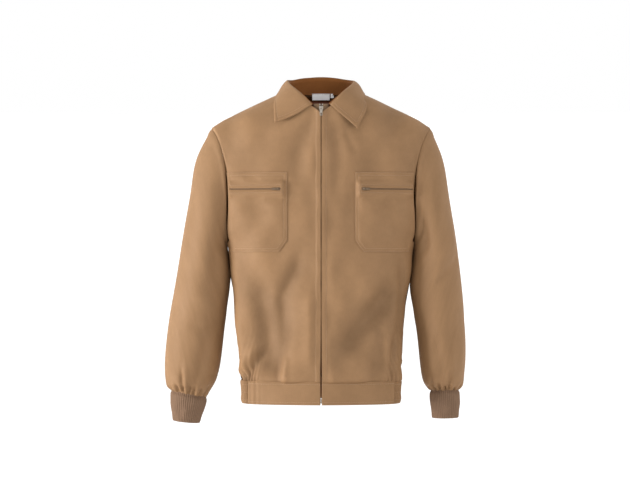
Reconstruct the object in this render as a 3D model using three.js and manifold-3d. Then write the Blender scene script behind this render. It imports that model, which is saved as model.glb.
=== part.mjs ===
// A zip-front work jacket with a turn-down collar, two zipped chest pockets, a waistband with
// elastic sides and rib cuffs. Millimetres, +Z up, the wearer's right at -X, the front at -Y.
// The exported origin is where a peg holds the hanger loop inside the back of the neck.
import * as THREE from "three";
import { mergeVertices } from "three/addons/utils/BufferGeometryUtils.js";
import Module from "manifold-3d";

const wasm = await Module();
wasm.setup();

// ---- Driving dimensions. Heights count down from the level of the back neck seam. ----
const cloth = 3; // a layer of drill with its seam allowances
const seamGap = 0.8; // half the space left between two pieces sewn edge to edge
const layerGap = 0.6; // space between layers that lie on each other

const hemHalfWidth = 170;
const chestHalfWidth = 200;
const sideFlare = 1.55; // how late the side seam widens towards the underarm
const frontDepthNeck = 104; // centre front, at the top of the zip
const frontDepthHem = 122;
const backDepth = 112;
const waistSeamZ = -617;
const waistbandHeight = 48;
const frontOpening = 3; // space between the two front edges

const underarmZ = -322;
const shoulderTipX = 236;
const shoulderTipZ = -74.5;
const armholeSpread = 50; // how much wider the section is at the shoulder than at the underarm
const armholeHook = 4.5; // how late the armhole turns out to the shoulder tip

const neckHalfWidth = 78;
const collarDrawnFor = 78; // the neck half width that the collar's curves are drawn for
const neckPointZ = 0;
const frontNeckZ = -52;
const frontNeckHook = 0.85; // how straight the front neckline climbs
const backNeckZ = -6;
const shoulderRoundStartZ = -200;
const shoulderSoftness = 60; // rounds the two shoulder slopes into each other at the neck

const sleeveClear = 3.5; // between the side of the body and the inner side of the sleeve
const tipEase = 2.4; // the extra space between body and sleeve at the shoulder tip
const cuffSeamZ = -650;
const cuffWall = 4;

const collarGap = 1.2; // between the stand and the leaf that folds over it
const labelSize = [38, 14];
const sizeTabSize = [7, 9];
const loopHalfWidth = 30;
const loopHeight = 8;
const loopStandOff = 7.6; // room for a peg between the loop and the back
const loopTape = 1.2;

const pocketTopZ = -175;
const pocketBottomZ = -344;
const pocketInnerX = 71;
const pocketChamfer = [18, 24];
const pocketStandOff = 3; // room for the pocket's zip between the patch and the front panel
const pocketWindowZ = -211;
const pocketWindowInnerX = 81;
const pocketWindowSize = [112, 13];

const facingWidth = 38;
const elasticHeight = 38;
const elasticThickness = 1.8;
const casingWall = 1.6;
const elasticFrontX = 155; // the elastic side starts here on the front
const elasticBackX = 135;

// A zip: half-widths across the chain, heights along it, depths through it.
const mainZip = {
  top: -31,
  tapeWidth: 12,
  tapeThick: 1,
  toothReach: 3,
  toothDepth: 1.4,
  toothThick: 2.4,
  pitch: 8,
  slot: 1.6,
  sliderWidth: 10,
  sliderLength: 10,
  plate: 1.2,
  pullWidth: 6,
  pullLength: 13,
};
const pocketZip = {
  tapeThick: 1,
  toothReach: 2.4,
  toothDepth: 1,
  toothThick: 1.6,
  pitch: 5,
  slot: 1.6,
  sliderWidth: 7,
  sliderLength: 8,
  plate: 0.8,
  pullWidth: 5,
  pullLength: 9,
};
const zipClear = 0.5; // between a slider and the chain
const clothClear = 1; // between a slider and the cloth in front of it
const webThick = 0.8; // the slider's middle web, in the slot between the rows
const pinRadius = 0.6;
const pinClear = 0.3;
const stopLength = 3;
const boxLength = 10;
const pinLength = 12;

// Sleeve stations from the armhole to the cuff. out is beyond the armhole line, down runs from
// -1 at the shoulder tip through 0 at the underarm to 1 at the cuff seam.
const sleeveDepths = [75, 78, 76, 74, 70, 66, 62, 54, 37];
const sleeves = {
  right: {
    side: -1,
    outer: [
      [64, -0.71],
      [80, -0.36],
      [96, 0.03],
      [112, 0.34],
      [124, 0.57],
      [133, 0.82],
      [130, 0.925],
      [120, 0.975],
    ],
    inner: [
      [0, 0.03],
      [-3, 0.09],
      [-6, 0.21],
      [-6, 0.34],
      [3, 0.56],
      [16, 0.82],
      [26, 0.927],
      [42, 1.02],
    ],
    cuffEnd: { outer: [115, 54], inner: [58, 60], depth: 32 },
  },
  left: {
    side: 1,
    outer: [
      [58, -0.71],
      [74, -0.36],
      [89, 0.03],
      [99, 0.34],
      [104, 0.57],
      [106, 0.82],
      [102, 0.925],
      [94, 0.97],
    ],
    inner: [
      [-1, 0.03],
      [-3, 0.09],
      [-6, 0.21],
      [-10, 0.34],
      [0, 0.56],
      [11, 0.82],
      [18, 0.92],
      [31, 0.975],
    ],
    cuffEnd: { outer: [92, 48], inner: [36, 49], depth: 31 },
  },
};

// Collar curves, from the centre front round one side to the centre back: out, towards the back, up.
const rollLine = [
  [18, -104, -33],
  [43, -91, -8],
  [61, -57, 9],
  [69, -10, 22],
  [60, 30, 29],
  [34, 50, 33],
  [0, 56, 34],
];
const leafBack = [
  [100, 0, -2],
  [89, 39, -10],
  [59, 73, -22],
  [0, 93, -34],
];
const leafFront = {
  right: [
    [97, -102, -62],
    [104, -75, -31],
    [104, -38, -11],
  ],
  left: [
    [76, -112, -84],
    [96, -90, -45],
    [103, -55, -19],
  ],
};
const leafFrontShare = 0.08; // of the leaf's length, at each end
const leafBelly = { right: -6, left: -1, back: 3 }; // how far the leaf curves up along its width
const standFoot = [
  [21, -97, -34],
  [38, -88, -20],
  [59, -60, -4],
  [70, -8, 1],
  [58, 28, 1],
  [33, 46, 0],
  [0, 50, 0],
];

// ---- Sizes that follow from the driving ones ----
const hemZ = waistSeamZ - seamGap - waistbandHeight;
const armholeX = chestHalfWidth + sleeveClear;
const zipTilt = -Math.atan((frontDepthHem - frontDepthNeck) / (mainZip.top - hemZ));
const mainTeethDepth = cloth + clothClear + mainZip.plate + zipClear + mainZip.toothThick / 2;
const sides = [
  ["right", -1],
  ["left", 1],
];
const colours = {
  drill: 0xa8825a,
  rib: 0x8f6a48,
  brass: 0xb9b4a8,
  tape: 0x7d5f3f,
  label: 0xe8e4dc,
  elastic: 0xd8d2c6,
};

const lerp = (a, b, t) => a + (b - a) * t;
const clamp = (v, low, high) => Math.min(high, Math.max(low, v));

// ---- The body's surface ----
// Half the width at which the section closes: the side seam up to the underarm, wider above it.
function sectionWidth(z) {
  if (z <= underarmZ) {
    const rise = (z - hemZ) / (underarmZ - hemZ);
    return hemHalfWidth + (chestHalfWidth - hemHalfWidth) * Math.max(rise, 0) ** sideFlare;
  }
  return chestHalfWidth + (armholeSpread * (z - underarmZ)) / (shoulderTipZ - underarmZ);
}

// How far out the armhole seam runs at a height.
function armholeSeamX(z) {
  const rise = clamp((z - underarmZ) / (shoulderTipZ - underarmZ), 0, 1);
  return chestHalfWidth + (shoulderTipX - chestHalfWidth) * rise ** armholeHook;
}

// Height of the shoulder seam, which peaks softly at the neck.
function shoulderZ(x) {
  const reach = (v) => Math.hypot(v, shoulderSoftness);
  const slope = (neckPointZ - shoulderTipZ) / (reach(shoulderTipX) - reach(neckHalfWidth));
  return neckPointZ - slope * (reach(x) - reach(neckHalfWidth));
}

// How much of the depth is left where the cloth rounds over to the shoulder seam.
function shoulderRound(x, z) {
  const climb = (z - shoulderRoundStartZ) / (shoulderZ(x) - shoulderRoundStartZ);
  const q = clamp(climb, 0, 1);
  return (1 - q ** 2.2) ** (1 / 2.2);
}

// The section's shape: nearly flat across the chest, then round at the side.
function sectionShape(x, z) {
  const xi = clamp(Math.abs(x) / sectionWidth(z), 0, 1);
  return (1 - xi ** 4.5) ** (1 / 4.5) * (1 - 0.25 * xi ** 1.4);
}

function centreFrontDepth(z) {
  return lerp(frontDepthNeck, frontDepthHem, (mainZip.top - z) / (mainZip.top - hemZ));
}

function bodyY(face, x, z) {
  if (face === "front") {
    const round = shoulderRound(x, z) / shoulderRound(0, z);
    return -centreFrontDepth(z) * sectionShape(x, z) * round - seamGap / 2;
  }
  return backDepth * sectionShape(x, z) * shoulderRound(x, z) + seamGap / 2;
}

// ---- Solids from surfaces ----
function solidFrom(positions, indices) {
  const geometry = new THREE.BufferGeometry();
  geometry.setAttribute("position", new THREE.Float32BufferAttribute(positions, 3));
  geometry.setIndex(indices);
  geometry.computeVertexNormals();
  return geometry;
}

// A sheet between two offsets from point(u, v), u and v from 0 to 1. outward says which way
// the offsets count. ring joins u = 1 back to u = 0.
function sheetSolid({ point, nu, nv, from, to, outward, ring = false }) {
  const columns = ring ? nu : nu + 1;
  const step = 1e-4;
  const layers = [from, to].map((offset) => {
    const layer = [];
    for (let j = 0; j <= nv; j += 1) {
      for (let i = 0; i < columns; i += 1) {
        const u = i / nu;
        const v = j / nv;
        const low = [ring ? u - step : Math.max(u - step, 0), Math.max(v - step, 0)];
        const high = [ring ? u + step : Math.min(u + step, 1), Math.min(v + step, 1)];
        const du = point(high[0], v).sub(point(low[0], v));
        const dv = point(u, high[1]).sub(point(u, low[1]));
        const normal = du.cross(dv).normalize();
        const here = point(u, v);
        if (normal.dot(outward(here)) < 0) normal.negate();
        layer.push(here.addScaledVector(normal, offset));
      }
    }
    return layer;
  });
  const positions = layers.flat().flatMap((p) => [p.x, p.y, p.z]);
  const at = (layer, i, j) => layer * columns * (nv + 1) + j * columns + (i % columns);
  const indices = [];
  const quad = (a, b, c, d) => indices.push(a, b, c, a, c, d);
  for (let j = 0; j < nv; j += 1) {
    for (let i = 0; i < nu; i += 1) {
      quad(at(0, i, j), at(0, i + 1, j), at(0, i + 1, j + 1), at(0, i, j + 1));
      quad(at(1, i, j), at(1, i, j + 1), at(1, i + 1, j + 1), at(1, i + 1, j));
    }
  }
  for (let i = 0; i < nu; i += 1) {
    quad(at(0, i, 0), at(1, i, 0), at(1, i + 1, 0), at(0, i + 1, 0));
    quad(at(0, i, nv), at(0, i + 1, nv), at(1, i + 1, nv), at(1, i, nv));
  }
  if (!ring) {
    for (let j = 0; j < nv; j += 1) {
      quad(at(0, 0, j), at(0, 0, j + 1), at(1, 0, j + 1), at(1, 0, j));
      quad(at(0, nu, j), at(1, nu, j), at(1, nu, j + 1), at(0, nu, j + 1));
    }
  }
  return facingOut(solidFrom(positions, indices));
}

// Turns a closed surface round if its faces point inwards.
function facingOut(geometry) {
  const p = geometry.getAttribute("position");
  const index = geometry.index.array;
  const [a, b, c] = [new THREE.Vector3(), new THREE.Vector3(), new THREE.Vector3()];
  let volume = 0;
  for (let i = 0; i < index.length; i += 3) {
    a.fromBufferAttribute(p, index[i]);
    b.fromBufferAttribute(p, index[i + 1]);
    c.fromBufferAttribute(p, index[i + 2]);
    volume += a.dot(b.cross(c));
  }
  if (volume < 0) {
    const turned = Array.from(index);
    for (let i = 0; i < turned.length; i += 3) {
      [turned[i + 1], turned[i + 2]] = [turned[i + 2], turned[i + 1]];
    }
    geometry.setIndex(turned);
  }
  geometry.computeVertexNormals();
  return geometry;
}

function toManifold(geometry) {
  const bare = geometry.clone();
  bare.deleteAttribute("normal");
  bare.deleteAttribute("uv");
  const merged = mergeVertices(bare, 1e-3);
  return new wasm.Manifold(
    new wasm.Mesh({
      numProp: 3,
      vertProperties: merged.getAttribute("position").array,
      triVerts: new Uint32Array(merged.index.array),
    }),
  );
}

function fromManifold(solid) {
  const mesh = solid.getMesh();
  return solidFrom(Array.from(mesh.vertProperties), Array.from(mesh.triVerts));
}

function joined(...geometries) {
  return fromManifold(geometries.map(toManifold).reduce((all, next) => all.add(next)));
}

function cut(geometry, ...tools) {
  const whole = toManifold(geometry);
  return fromManifold(tools.map(toManifold).reduce((all, next) => all.subtract(next), whole));
}

// A box from its low and high corners.
function block(low, high) {
  const size = high.map((h, i) => h - low[i]);
  return new THREE.BoxGeometry(...size).translate(...high.map((h, i) => (h + low[i]) / 2));
}

function rodAlongX(radius, length, y, z) {
  return new THREE.CylinderGeometry(radius, radius, length, 16).rotateZ(Math.PI / 2).translate(0, y, z);
}

const materials = {};
function material(finish) {
  const metal = finish === "brass";
  materials[finish] ??= {
    color: colours[finish],
    roughness: metal ? 0.35 : 0.9,
    metalness: metal ? 0.9 : 0,
  };
  return new THREE.MeshStandardMaterial(materials[finish]);
}

const jacket = new THREE.Group();
function add(name, geometry, finish, parent = jacket) {
  const mesh = new THREE.Mesh(geometry, material(finish));
  mesh.name = name;
  parent.add(mesh);
  return mesh;
}

// ---- Body panels ----
const outOfBody = (p) => new THREE.Vector3(p.x, p.y * 1.6, p.z > shoulderTipZ ? 60 : 0);

// A point on the body at a share t across, from xInner out to the side seam or the armhole.
function across(face, side, xInner, t, z) {
  const outer = z <= underarmZ ? sectionWidth(z) : armholeSeamX(z) - seamGap;
  const turn = Math.asin(clamp(outer / sectionWidth(z), 0, 1));
  const x = lerp(xInner, outer, Math.sin(t * turn) / Math.sin(turn));
  return new THREE.Vector3(side * x, bodyY(face, x, z), z);
}

function frontNecklineZ(x) {
  const share = clamp(x / neckHalfWidth, 0, 1);
  return lerp(frontNeckZ, neckPointZ, share ** frontNeckHook);
}

function backNecklineZ(x) {
  const share = clamp(x / neckHalfWidth, 0, 1);
  return lerp(backNeckZ, neckPointZ, share ** 2);
}

// Top edge of a panel: the neckline, then the shoulder seam.
function topEdgeZ(face, x) {
  if (x >= neckHalfWidth) return shoulderZ(x);
  return face === "front" ? frontNecklineZ(x) : backNecklineZ(x);
}

// A panel point: columns run from the waist seam up to the top edge.
function panelPoint(face, side, xInner, t, v) {
  const climb = 1 - (1 - v) ** 1.7;
  const topX = lerp(xInner, shoulderTipX - seamGap, Math.sin((t * Math.PI) / 2.6) / Math.sin(Math.PI / 2.6));
  const z = lerp(waistSeamZ + seamGap, topEdgeZ(face, topX), climb);
  const atHeight = across(face, side, xInner, t, z);
  const rounding = clamp((z - underarmZ) / (shoulderTipZ - underarmZ), 0, 1) ** 2;
  const x = lerp(Math.abs(atHeight.x), Math.min(topX, armholeSeamX(z) - seamGap), rounding);
  return new THREE.Vector3(side * x, bodyY(face, x, z), z);
}

function frontPanel(side) {
  const point = (u, v) => panelPoint("front", side, frontOpening / 2, u, v);
  return sheetSolid({ point, nu: 12, nv: 17, from: 0, to: -cloth, outward: outOfBody });
}

function backPanel() {
  const point = (u, v) => {
    const side = u < 0.5 ? -1 : 1;
    return panelPoint("back", side, 0, Math.abs(u - 0.5) * 2, v);
  };
  return sheetSolid({ point, nu: 22, nv: 17, from: 0, to: -cloth, outward: outOfBody });
}

// Behind each front edge, a strip that covers the back of the zip tape.
function frontFacing(side) {
  const inner = mainZip.sliderWidth / 2 + 2;
  const depth = mainTeethDepth + mainZip.tapeThick / 2 + layerGap;
  const point = (u, v) => {
    const x = inner + u * facingWidth;
    const z = lerp(waistSeamZ + seamGap, frontNecklineZ(inner) - 8, v);
    return new THREE.Vector3(side * x, bodyY("front", x, z), z);
  };
  return sheetSolid({ point, nu: 3, nv: 10, from: -depth, to: -depth - 1.5, outward: outOfBody });
}

// ---- Waistband ----
function bandPoint(face, side, xFrom, xTo, u, z) {
  const width = sectionWidth(z);
  const angle = lerp(Math.asin(clamp(xFrom / width, 0, 1)), Math.asin(clamp(xTo / width, 0, 1)), u);
  const x = width * Math.sin(angle);
  return new THREE.Vector3(side * x, bodyY(face, x, z), z);
}

const bandTop = waistSeamZ - seamGap;

function frontWaistband(side) {
  const point = (u, v) =>
    bandPoint("front", side, frontOpening / 2, elasticFrontX - seamGap, u, lerp(hemZ, bandTop, v));
  return sheetSolid({ point, nu: 12, nv: 2, from: 0, to: -cloth, outward: outOfBody });
}

function backWaistband() {
  const point = (u, v) => {
    const side = u < 0.5 ? -1 : 1;
    return bandPoint("back", side, 0, elasticBackX - seamGap, Math.abs(u - 0.5) * 2, lerp(hemZ, bandTop, v));
  };
  return sheetSolid({ point, nu: 18, nv: 2, from: 0, to: -cloth, outward: outOfBody });
}

// A point round the elastic side, u from the front end to the back end, past both for a cut.
function sidePoint(side, u, z) {
  const width = sectionWidth(z);
  const front = Math.asin(elasticFrontX / width);
  const back = Math.PI - Math.asin(elasticBackX / width);
  const angle = lerp(front, back, u);
  const x = width * Math.sin(angle);
  const depthSign = angle < Math.PI / 2 ? "front" : "back";
  const y = bodyY(depthSign, x, z);
  return new THREE.Vector3(side * x, y, z);
}

function sideBand(side, from, to, low, high, overrun) {
  const point = (u, v) => sidePoint(side, lerp(-overrun, 1 + overrun, u), lerp(low, high, v));
  return sheetSolid({ point, nu: 12, nv: 4, from, to, outward: outOfBody });
}

// The casing is folded up under the elastic and is open at its top and ends.
function sideCasing(side) {
  const room = elasticThickness + 2 * layerGap;
  const whole = sideBand(side, 0, -(2 * casingWall + room), hemZ, bandTop, 0);
  const hollow = sideBand(side, -casingWall, -casingWall - room, hemZ + casingWall, bandTop + 20, 0.05);
  return cut(whole, hollow);
}

function elasticBand(side) {
  const depth = casingWall + layerGap;
  const low = hemZ + casingWall + layerGap;
  return sideBand(side, -depth, -depth - elasticThickness, low, low + elasticHeight, -0.01);
}

// ---- Collar and what is inside the neck ----
function aroundNeck(rightHalf, leftHalf = rightHalf) {
  const spread = neckHalfWidth / collarDrawnFor;
  const right = rightHalf.slice(0, -1).map(([x, y, z]) => new THREE.Vector3(-x * spread, y, z));
  const left = leftHalf.map(([x, y, z]) => new THREE.Vector3(x * spread, y, z)).reverse();
  return new THREE.CatmullRomCurve3([...right, ...left], false, "centripetal");
}

const roll = aroundNeck(rollLine);
const leafRim = aroundNeck([...leafFront.right, ...leafBack], [...leafFront.left, ...leafBack]);
const foot = aroundNeck(standFoot);
const neckCentre = new THREE.Vector3(0, -15, -40);
const outOfNeck = (p) => p.clone().sub(neckCentre).setZ(20);

function collarStand() {
  const point = (u, v) => foot.getPoint(u).lerp(roll.getPoint(u), v * 0.94);
  return sheetSolid({ point, nu: 28, nv: 2, from: -collarGap, to: -collarGap - 2.4, outward: outOfNeck });
}

function collarLeaf() {
  const point = (u, v) => {
    const p = roll.getPoint(u).lerp(leafRim.getPoint(u), v);
    const front = u < 0.5 ? leafBelly.right : leafBelly.left;
    const toBack = Math.min(1, Math.min(u, 1 - u) / leafFrontShare);
    p.z += lerp(front, leafBelly.back, toBack) * Math.sin(Math.PI * v);
    return p;
  };
  const outward = (p) => outOfNeck(p).setZ(90);
  return sheetSolid({ point, nu: 32, nv: 4, from: 0.3, to: cloth, outward });
}

const neckBackY = standFoot.at(-1)[1] - collarGap - 2.4 - layerGap;
const loopTopZ = -labelSize[1] - 3;
const loopFaceY = neckBackY + 2.5;

function neckLabel() {
  const [w, h] = labelSize;
  return block([-w / 2, neckBackY - 1, -h - 1], [w / 2, neckBackY, -1]);
}

function sizeTab() {
  const [w, h] = sizeTabSize;
  const left = labelSize[0] / 2 + 2;
  return block([left, neckBackY - 0.8, -h - 1], [left + w, neckBackY, -1]);
}

// A tape that stands off the back and is turned back at both ends.
function hangerLoop() {
  const outline = new THREE.Shape();
  const w = loopHalfWidth;
  const turn = 5;
  outline.moveTo(-w - turn, loopFaceY + loopStandOff);
  outline.lineTo(-w - turn + 1.5, loopFaceY + loopStandOff);
  outline.lineTo(-w + 1, loopFaceY + loopTape);
  outline.lineTo(w - 1, loopFaceY + loopTape);
  outline.lineTo(w + turn - 1.5, loopFaceY + loopStandOff);
  outline.lineTo(w + turn, loopFaceY + loopStandOff);
  outline.lineTo(w, loopFaceY);
  outline.lineTo(-w, loopFaceY);
  const strip = new THREE.ExtrudeGeometry(outline, { depth: loopHeight, bevelEnabled: false });
  return strip.translate(0, 0, loopTopZ - loopHeight);
}

// ---- Pockets ----
function pocketPoint(side, u, v) {
  const [chamferX, chamferZ] = pocketChamfer;
  const share = u < 0.15 ? u / 0.15 : 1;
  const low = lerp(pocketBottomZ + chamferZ, pocketBottomZ, share);
  const z = lerp(low, pocketTopZ, v);
  const outer = Math.min(armholeSeamX(z), sectionWidth(z) * 0.985) - 4;
  const inner = pocketInnerX;
  const x = u < 0.15 ? inner + chamferX * share : lerp(inner + chamferX, outer, (u - 0.15) / 0.85);
  return new THREE.Vector3(side * x, bodyY("front", x, z), z);
}

// The pocket's zip lies straight: its frame has X along the chain and Y into the jacket.
function pocketZipFrame(side) {
  const at = (x) => new THREE.Vector3(side * x, bodyY("front", x, pocketWindowZ), pocketWindowZ);
  const inner = at(pocketWindowInnerX);
  const outer = at(pocketWindowInnerX + pocketWindowSize[0]);
  const middle = at(pocketWindowInnerX + pocketWindowSize[0] / 2);
  const along = outer.clone().sub(inner).normalize();
  const inward = new THREE.Vector3(0, 0, 1).cross(along).multiplyScalar(side);
  const centre = inner.add(outer).multiplyScalar(0.5).lerp(middle, 0.5);
  const group = new THREE.Group();
  const xAxis = along.multiplyScalar(side);
  group.setRotationFromMatrix(new THREE.Matrix4().makeBasis(xAxis, inward, new THREE.Vector3(0, 0, 1)));
  group.position.copy(centre.addScaledVector(inward, -(pocketStandOff + cloth - 0.4)));
  group.updateMatrixWorld(true);
  return group;
}

function pocketPatch(side, frame) {
  const patch = sheetSolid({
    point: (u, v) => pocketPoint(side, u, v),
    nu: 14,
    nv: 6,
    from: pocketStandOff + cloth - 0.5,
    to: pocketStandOff,
    outward: outOfBody,
  });
  const [w, h] = pocketWindowSize;
  const opening = block([-w / 2, -12, -h / 2], [w / 2, 12, h / 2]).applyMatrix4(frame.matrixWorld);
  return cut(patch, opening);
}

// ---- Zips. Local frame: X across the chain, Y into the jacket, Z along it, top stop upwards. ----
// One row of teeth as a comb: back edge outside, teeth towards the middle.
function toothRow(zip, side, from, to, offset) {
  const tip = zip.slot / 2;
  const back = tip + zip.toothReach;
  const root = tip + zip.toothDepth;
  const outline = new THREE.Shape();
  outline.moveTo(side * back, to);
  outline.lineTo(side * back, from);
  outline.lineTo(side * root, from);
  for (let z = from + offset; z + zip.pitch / 2 < to; z += zip.pitch) {
    outline.lineTo(side * root, z + zip.pitch * 0.05);
    outline.lineTo(side * tip, z + zip.pitch * 0.12);
    outline.lineTo(side * tip, z + zip.pitch * 0.42);
    outline.lineTo(side * root, z + zip.pitch * 0.49);
  }
  outline.lineTo(side * root, to);
  const row = new THREE.ExtrudeGeometry(outline, { depth: zip.toothThick, bevelEnabled: false });
  return row.rotateX(Math.PI / 2).translate(0, zip.toothThick / 2, 0);
}

// Two plates joined by a web, with an eye on the front plate that carries the pull's pin.
function sliderBody(zip, eyeY, eyeZ) {
  const half = zip.sliderWidth / 2;
  const inside = zip.toothThick / 2 + zipClear;
  const low = -zip.sliderLength;
  const front = block([-half, -inside - zip.plate, low], [half, -inside, 0]);
  const back = block([-half, inside, low], [half, inside + zip.plate, 0]);
  const web = block([-webThick / 2, -inside - 0.1, low], [webThick / 2, inside + 0.1, 0]);
  const eyeHalf = frontOpening / 2 - zipClear;
  const eye = block([-eyeHalf, eyeY - 1.6, eyeZ - 2.4], [eyeHalf, -inside - 0.1, eyeZ + 2.4]);
  return cut(joined(front, back, web, eye), rodAlongX(pinRadius + pinClear, 8, eyeY, eyeZ));
}

function pullTab(zip, eyeY, eyeZ) {
  const armIn = frontOpening / 2 - zipClear + 0.4;
  const half = zip.pullWidth / 2;
  const thick = 0.6;
  const neck = 3.6;
  const pin = rodAlongX(pinRadius, 2 * half - 0.4, eyeY, eyeZ);
  const arm = (s) => {
    const x = [s * armIn, s * half].sort((a, b) => a - b);
    return block([x[0], eyeY - thick, eyeZ - neck - 0.5], [x[1], eyeY + thick, eyeZ + 1]);
  };
  const low = eyeZ - neck - zip.pullLength;
  const tab = block([-half, eyeY - thick, low], [half, eyeY + thick, eyeZ - neck]);
  const hole = block([-half + 1.6, eyeY - 3, low + 1.8], [half - 1.6, eyeY + 3, low + 5]);
  return cut(joined(tab, pin, arm(-1), arm(1)), hole);
}

function buildMainZip() {
  const zip = mainZip;
  const frame = new THREE.Group();
  frame.position.set(0, bodyY("front", 0, zip.top), zip.top);
  frame.rotation.x = zipTilt;
  jacket.add(frame);
  const chain = new THREE.Group();
  chain.position.y = mainTeethDepth;
  frame.add(chain);
  const length = (zip.top - hemZ) / Math.cos(zipTilt) - 4;
  const rowTop = -stopLength - seamGap;
  const rowLow = -length + boxLength + seamGap;
  const back = zip.slot / 2 + zip.toothReach;
  const tapeIn = back + 0.4;
  for (const [word, side] of sides) {
    const offset = side < 0 ? 0 : zip.pitch / 2;
    const pinStart = side < 0 ? rowLow + pinLength - boxLength / 2 : rowLow;
    const teeth = facingOut(indexed(toothRow(zip, side, pinStart, rowTop, offset)));
    add(`main_zip_${word}_teeth`, teeth, "tape", chain);
    const x = [side * tapeIn, side * (tapeIn + zip.tapeWidth)].sort((a, b) => a - b);
    const tape = block([x[0], -zip.tapeThick / 2, -length + boxLength], [x[1], zip.tapeThick / 2, 0]);
    add(`main_zip_${word}_tape`, tape, "tape", chain);
    const stopX = [side * (zip.slot / 2 + 0.4), side * back].sort((a, b) => a - b);
    const thick = zip.toothThick / 2;
    const stop = block([stopX[0], -thick, -stopLength], [stopX[1], thick, 0]);
    add(`main_zip_${word}_top_stop`, stop, "brass", chain);
  }
  // The retainer box is on the left tape. The insertion pin, on the right one, stands in its socket.
  const boxTop = -length + boxLength - 0.6;
  const pinX = [-zip.slot / 2 - 2, -zip.slot / 2 - 0.3];
  const pinLow = boxTop - boxLength + 2.5;
  const thick = zip.toothThick / 2;
  const whole = block([-back, -thick - 0.8, -length], [back, thick + 0.8, boxTop]);
  const socketLow = [pinX[0] - pinClear, -thick - 0.1, pinLow - pinClear];
  const socket = block(socketLow, [pinX[1] + pinClear, thick + 0.1, 0]);
  add("main_zip_retainer_box", cut(whole, socket), "brass", chain);
  const pinTop = rowLow + pinLength - boxLength / 2 - pinClear;
  const pin = block([pinX[0], -thick + pinClear, pinLow], [pinX[1], thick - pinClear, pinTop]);
  add("main_zip_insertion_pin", pin, "brass", chain);

  const eyeY = -mainTeethDepth - 2.2;
  const eyeZ = -4.5;
  const slider = new THREE.Group();
  slider.position.z = rowTop - seamGap;
  chain.add(slider);
  add("main_zip_slider", sliderBody(zip, eyeY, eyeZ), "brass", slider);
  add("main_zip_pull", pullTab(zip, eyeY, eyeZ), "brass", slider);
}

function buildPocket(word, side) {
  const frame = pocketZipFrame(side);
  add(`${word}_pocket_patch`, pocketPatch(side, frame), "drill");
  const zip = pocketZip;
  jacket.add(frame);
  // The chain's own frame has Z along it, towards the centre front, where the slider rests closed.
  const chain = new THREE.Group();
  chain.rotation.y = (-side * Math.PI) / 2;
  chain.position.y = zip.toothThick / 2;
  frame.add(chain);
  const half = pocketWindowSize[0] / 2 - 0.6;
  const back = zip.slot / 2 + zip.toothReach;
  const tapeIn = back + 0.4;
  const rows = [
    ["upper", side],
    ["lower", -side],
  ];
  for (const [row, s] of rows) {
    const offset = s < 0 ? 0 : zip.pitch / 2;
    const teeth = facingOut(indexed(toothRow(zip, s, -half, half, offset)));
    add(`${word}_pocket_zip_${row}_teeth`, teeth, "tape", chain);
    const x = [s * tapeIn, s * (pocketWindowSize[1] / 2 - 0.5)].sort((a, b) => a - b);
    const tape = block([x[0], -zip.tapeThick / 2, -half], [x[1], zip.tapeThick / 2, half]);
    add(`${word}_pocket_zip_${row}_tape`, tape, "tape", chain);
  }
  const inside = zip.toothThick / 2 + zipClear;
  const eyeY = -inside - zip.plate - 1.5;
  const eyeZ = -3.6;
  const slider = new THREE.Group();
  slider.position.z = half - 2;
  chain.add(slider);
  add(`${word}_pocket_zip_slider`, sliderBody(zip, eyeY, eyeZ), "brass", slider);
  add(`${word}_pocket_zip_pull`, pullTab(zip, eyeY, eyeZ), "brass", slider);
}

function indexed(geometry) {
  const bare = geometry.clone();
  bare.deleteAttribute("normal");
  bare.deleteAttribute("uv");
  return mergeVertices(bare, 1e-3);
}

// ---- Sleeves ----
const sleeveZ = (down) =>
  down < 0 ? lerp(underarmZ, shoulderTipZ, -down) : lerp(underarmZ, cuffSeamZ, down);

function sleeveEdges(sleeve) {
  const place = (edge, first) => [
    new THREE.Vector3(first[0], 0, first[1]),
    ...edge.map(([out, down]) => new THREE.Vector3(armholeX + out, 0, sleeveZ(down))),
  ];
  return {
    outer: new THREE.CatmullRomCurve3(place(sleeve.outer, [shoulderTipX + seamGap + tipEase, shoulderTipZ])),
    inner: new THREE.CatmullRomCurve3(place(sleeve.inner, [armholeX, underarmZ])),
  };
}

// A smooth value between the stations' depths.
const depthCurve = new THREE.SplineCurve(sleeveDepths.map((d, i) => new THREE.Vector2(i, d)));

// The armhole seam at an angle, 0 at the shoulder tip, front first.
function armholePoint(angle) {
  const z = (shoulderTipZ + underarmZ) / 2 + ((shoulderTipZ - underarmZ) / 2) * Math.cos(angle);
  const x = armholeSeamX(z);
  const front = Math.sin(angle) >= 0;
  const y = bodyY(front ? "front" : "back", x, z) + (front ? seamGap / 2 : -seamGap / 2);
  const underarmShift = (armholeX - chestHalfWidth - seamGap) * clamp(-Math.cos(angle), 0, 1) ** 4;
  const tipShift = tipEase * clamp(Math.cos(angle), 0, 1) ** 4;
  return new THREE.Vector3(x + seamGap + underarmShift + tipShift, y, z);
}

function ringPoint(outer, inner, depth, angle) {
  const centre = outer.clone().add(inner).multiplyScalar(0.5);
  const half = outer.clone().sub(inner).multiplyScalar(0.5);
  centre.addScaledVector(half, Math.cos(angle));
  centre.y -= depth * Math.sin(angle);
  return centre;
}

function sleevePoint(edges, s, angle) {
  const ringAt = (share) =>
    ringPoint(edges.outer.getPoint(share), edges.inner.getPoint(share), depthCurve.getPoint(share).y, angle);
  const seamShare = clamp(1 - s / 0.4, 0, 1) ** 2;
  const toSeam = armholePoint(angle).sub(ringAt(0));
  return ringAt(s).addScaledVector(toSeam, seamShare);
}

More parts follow.
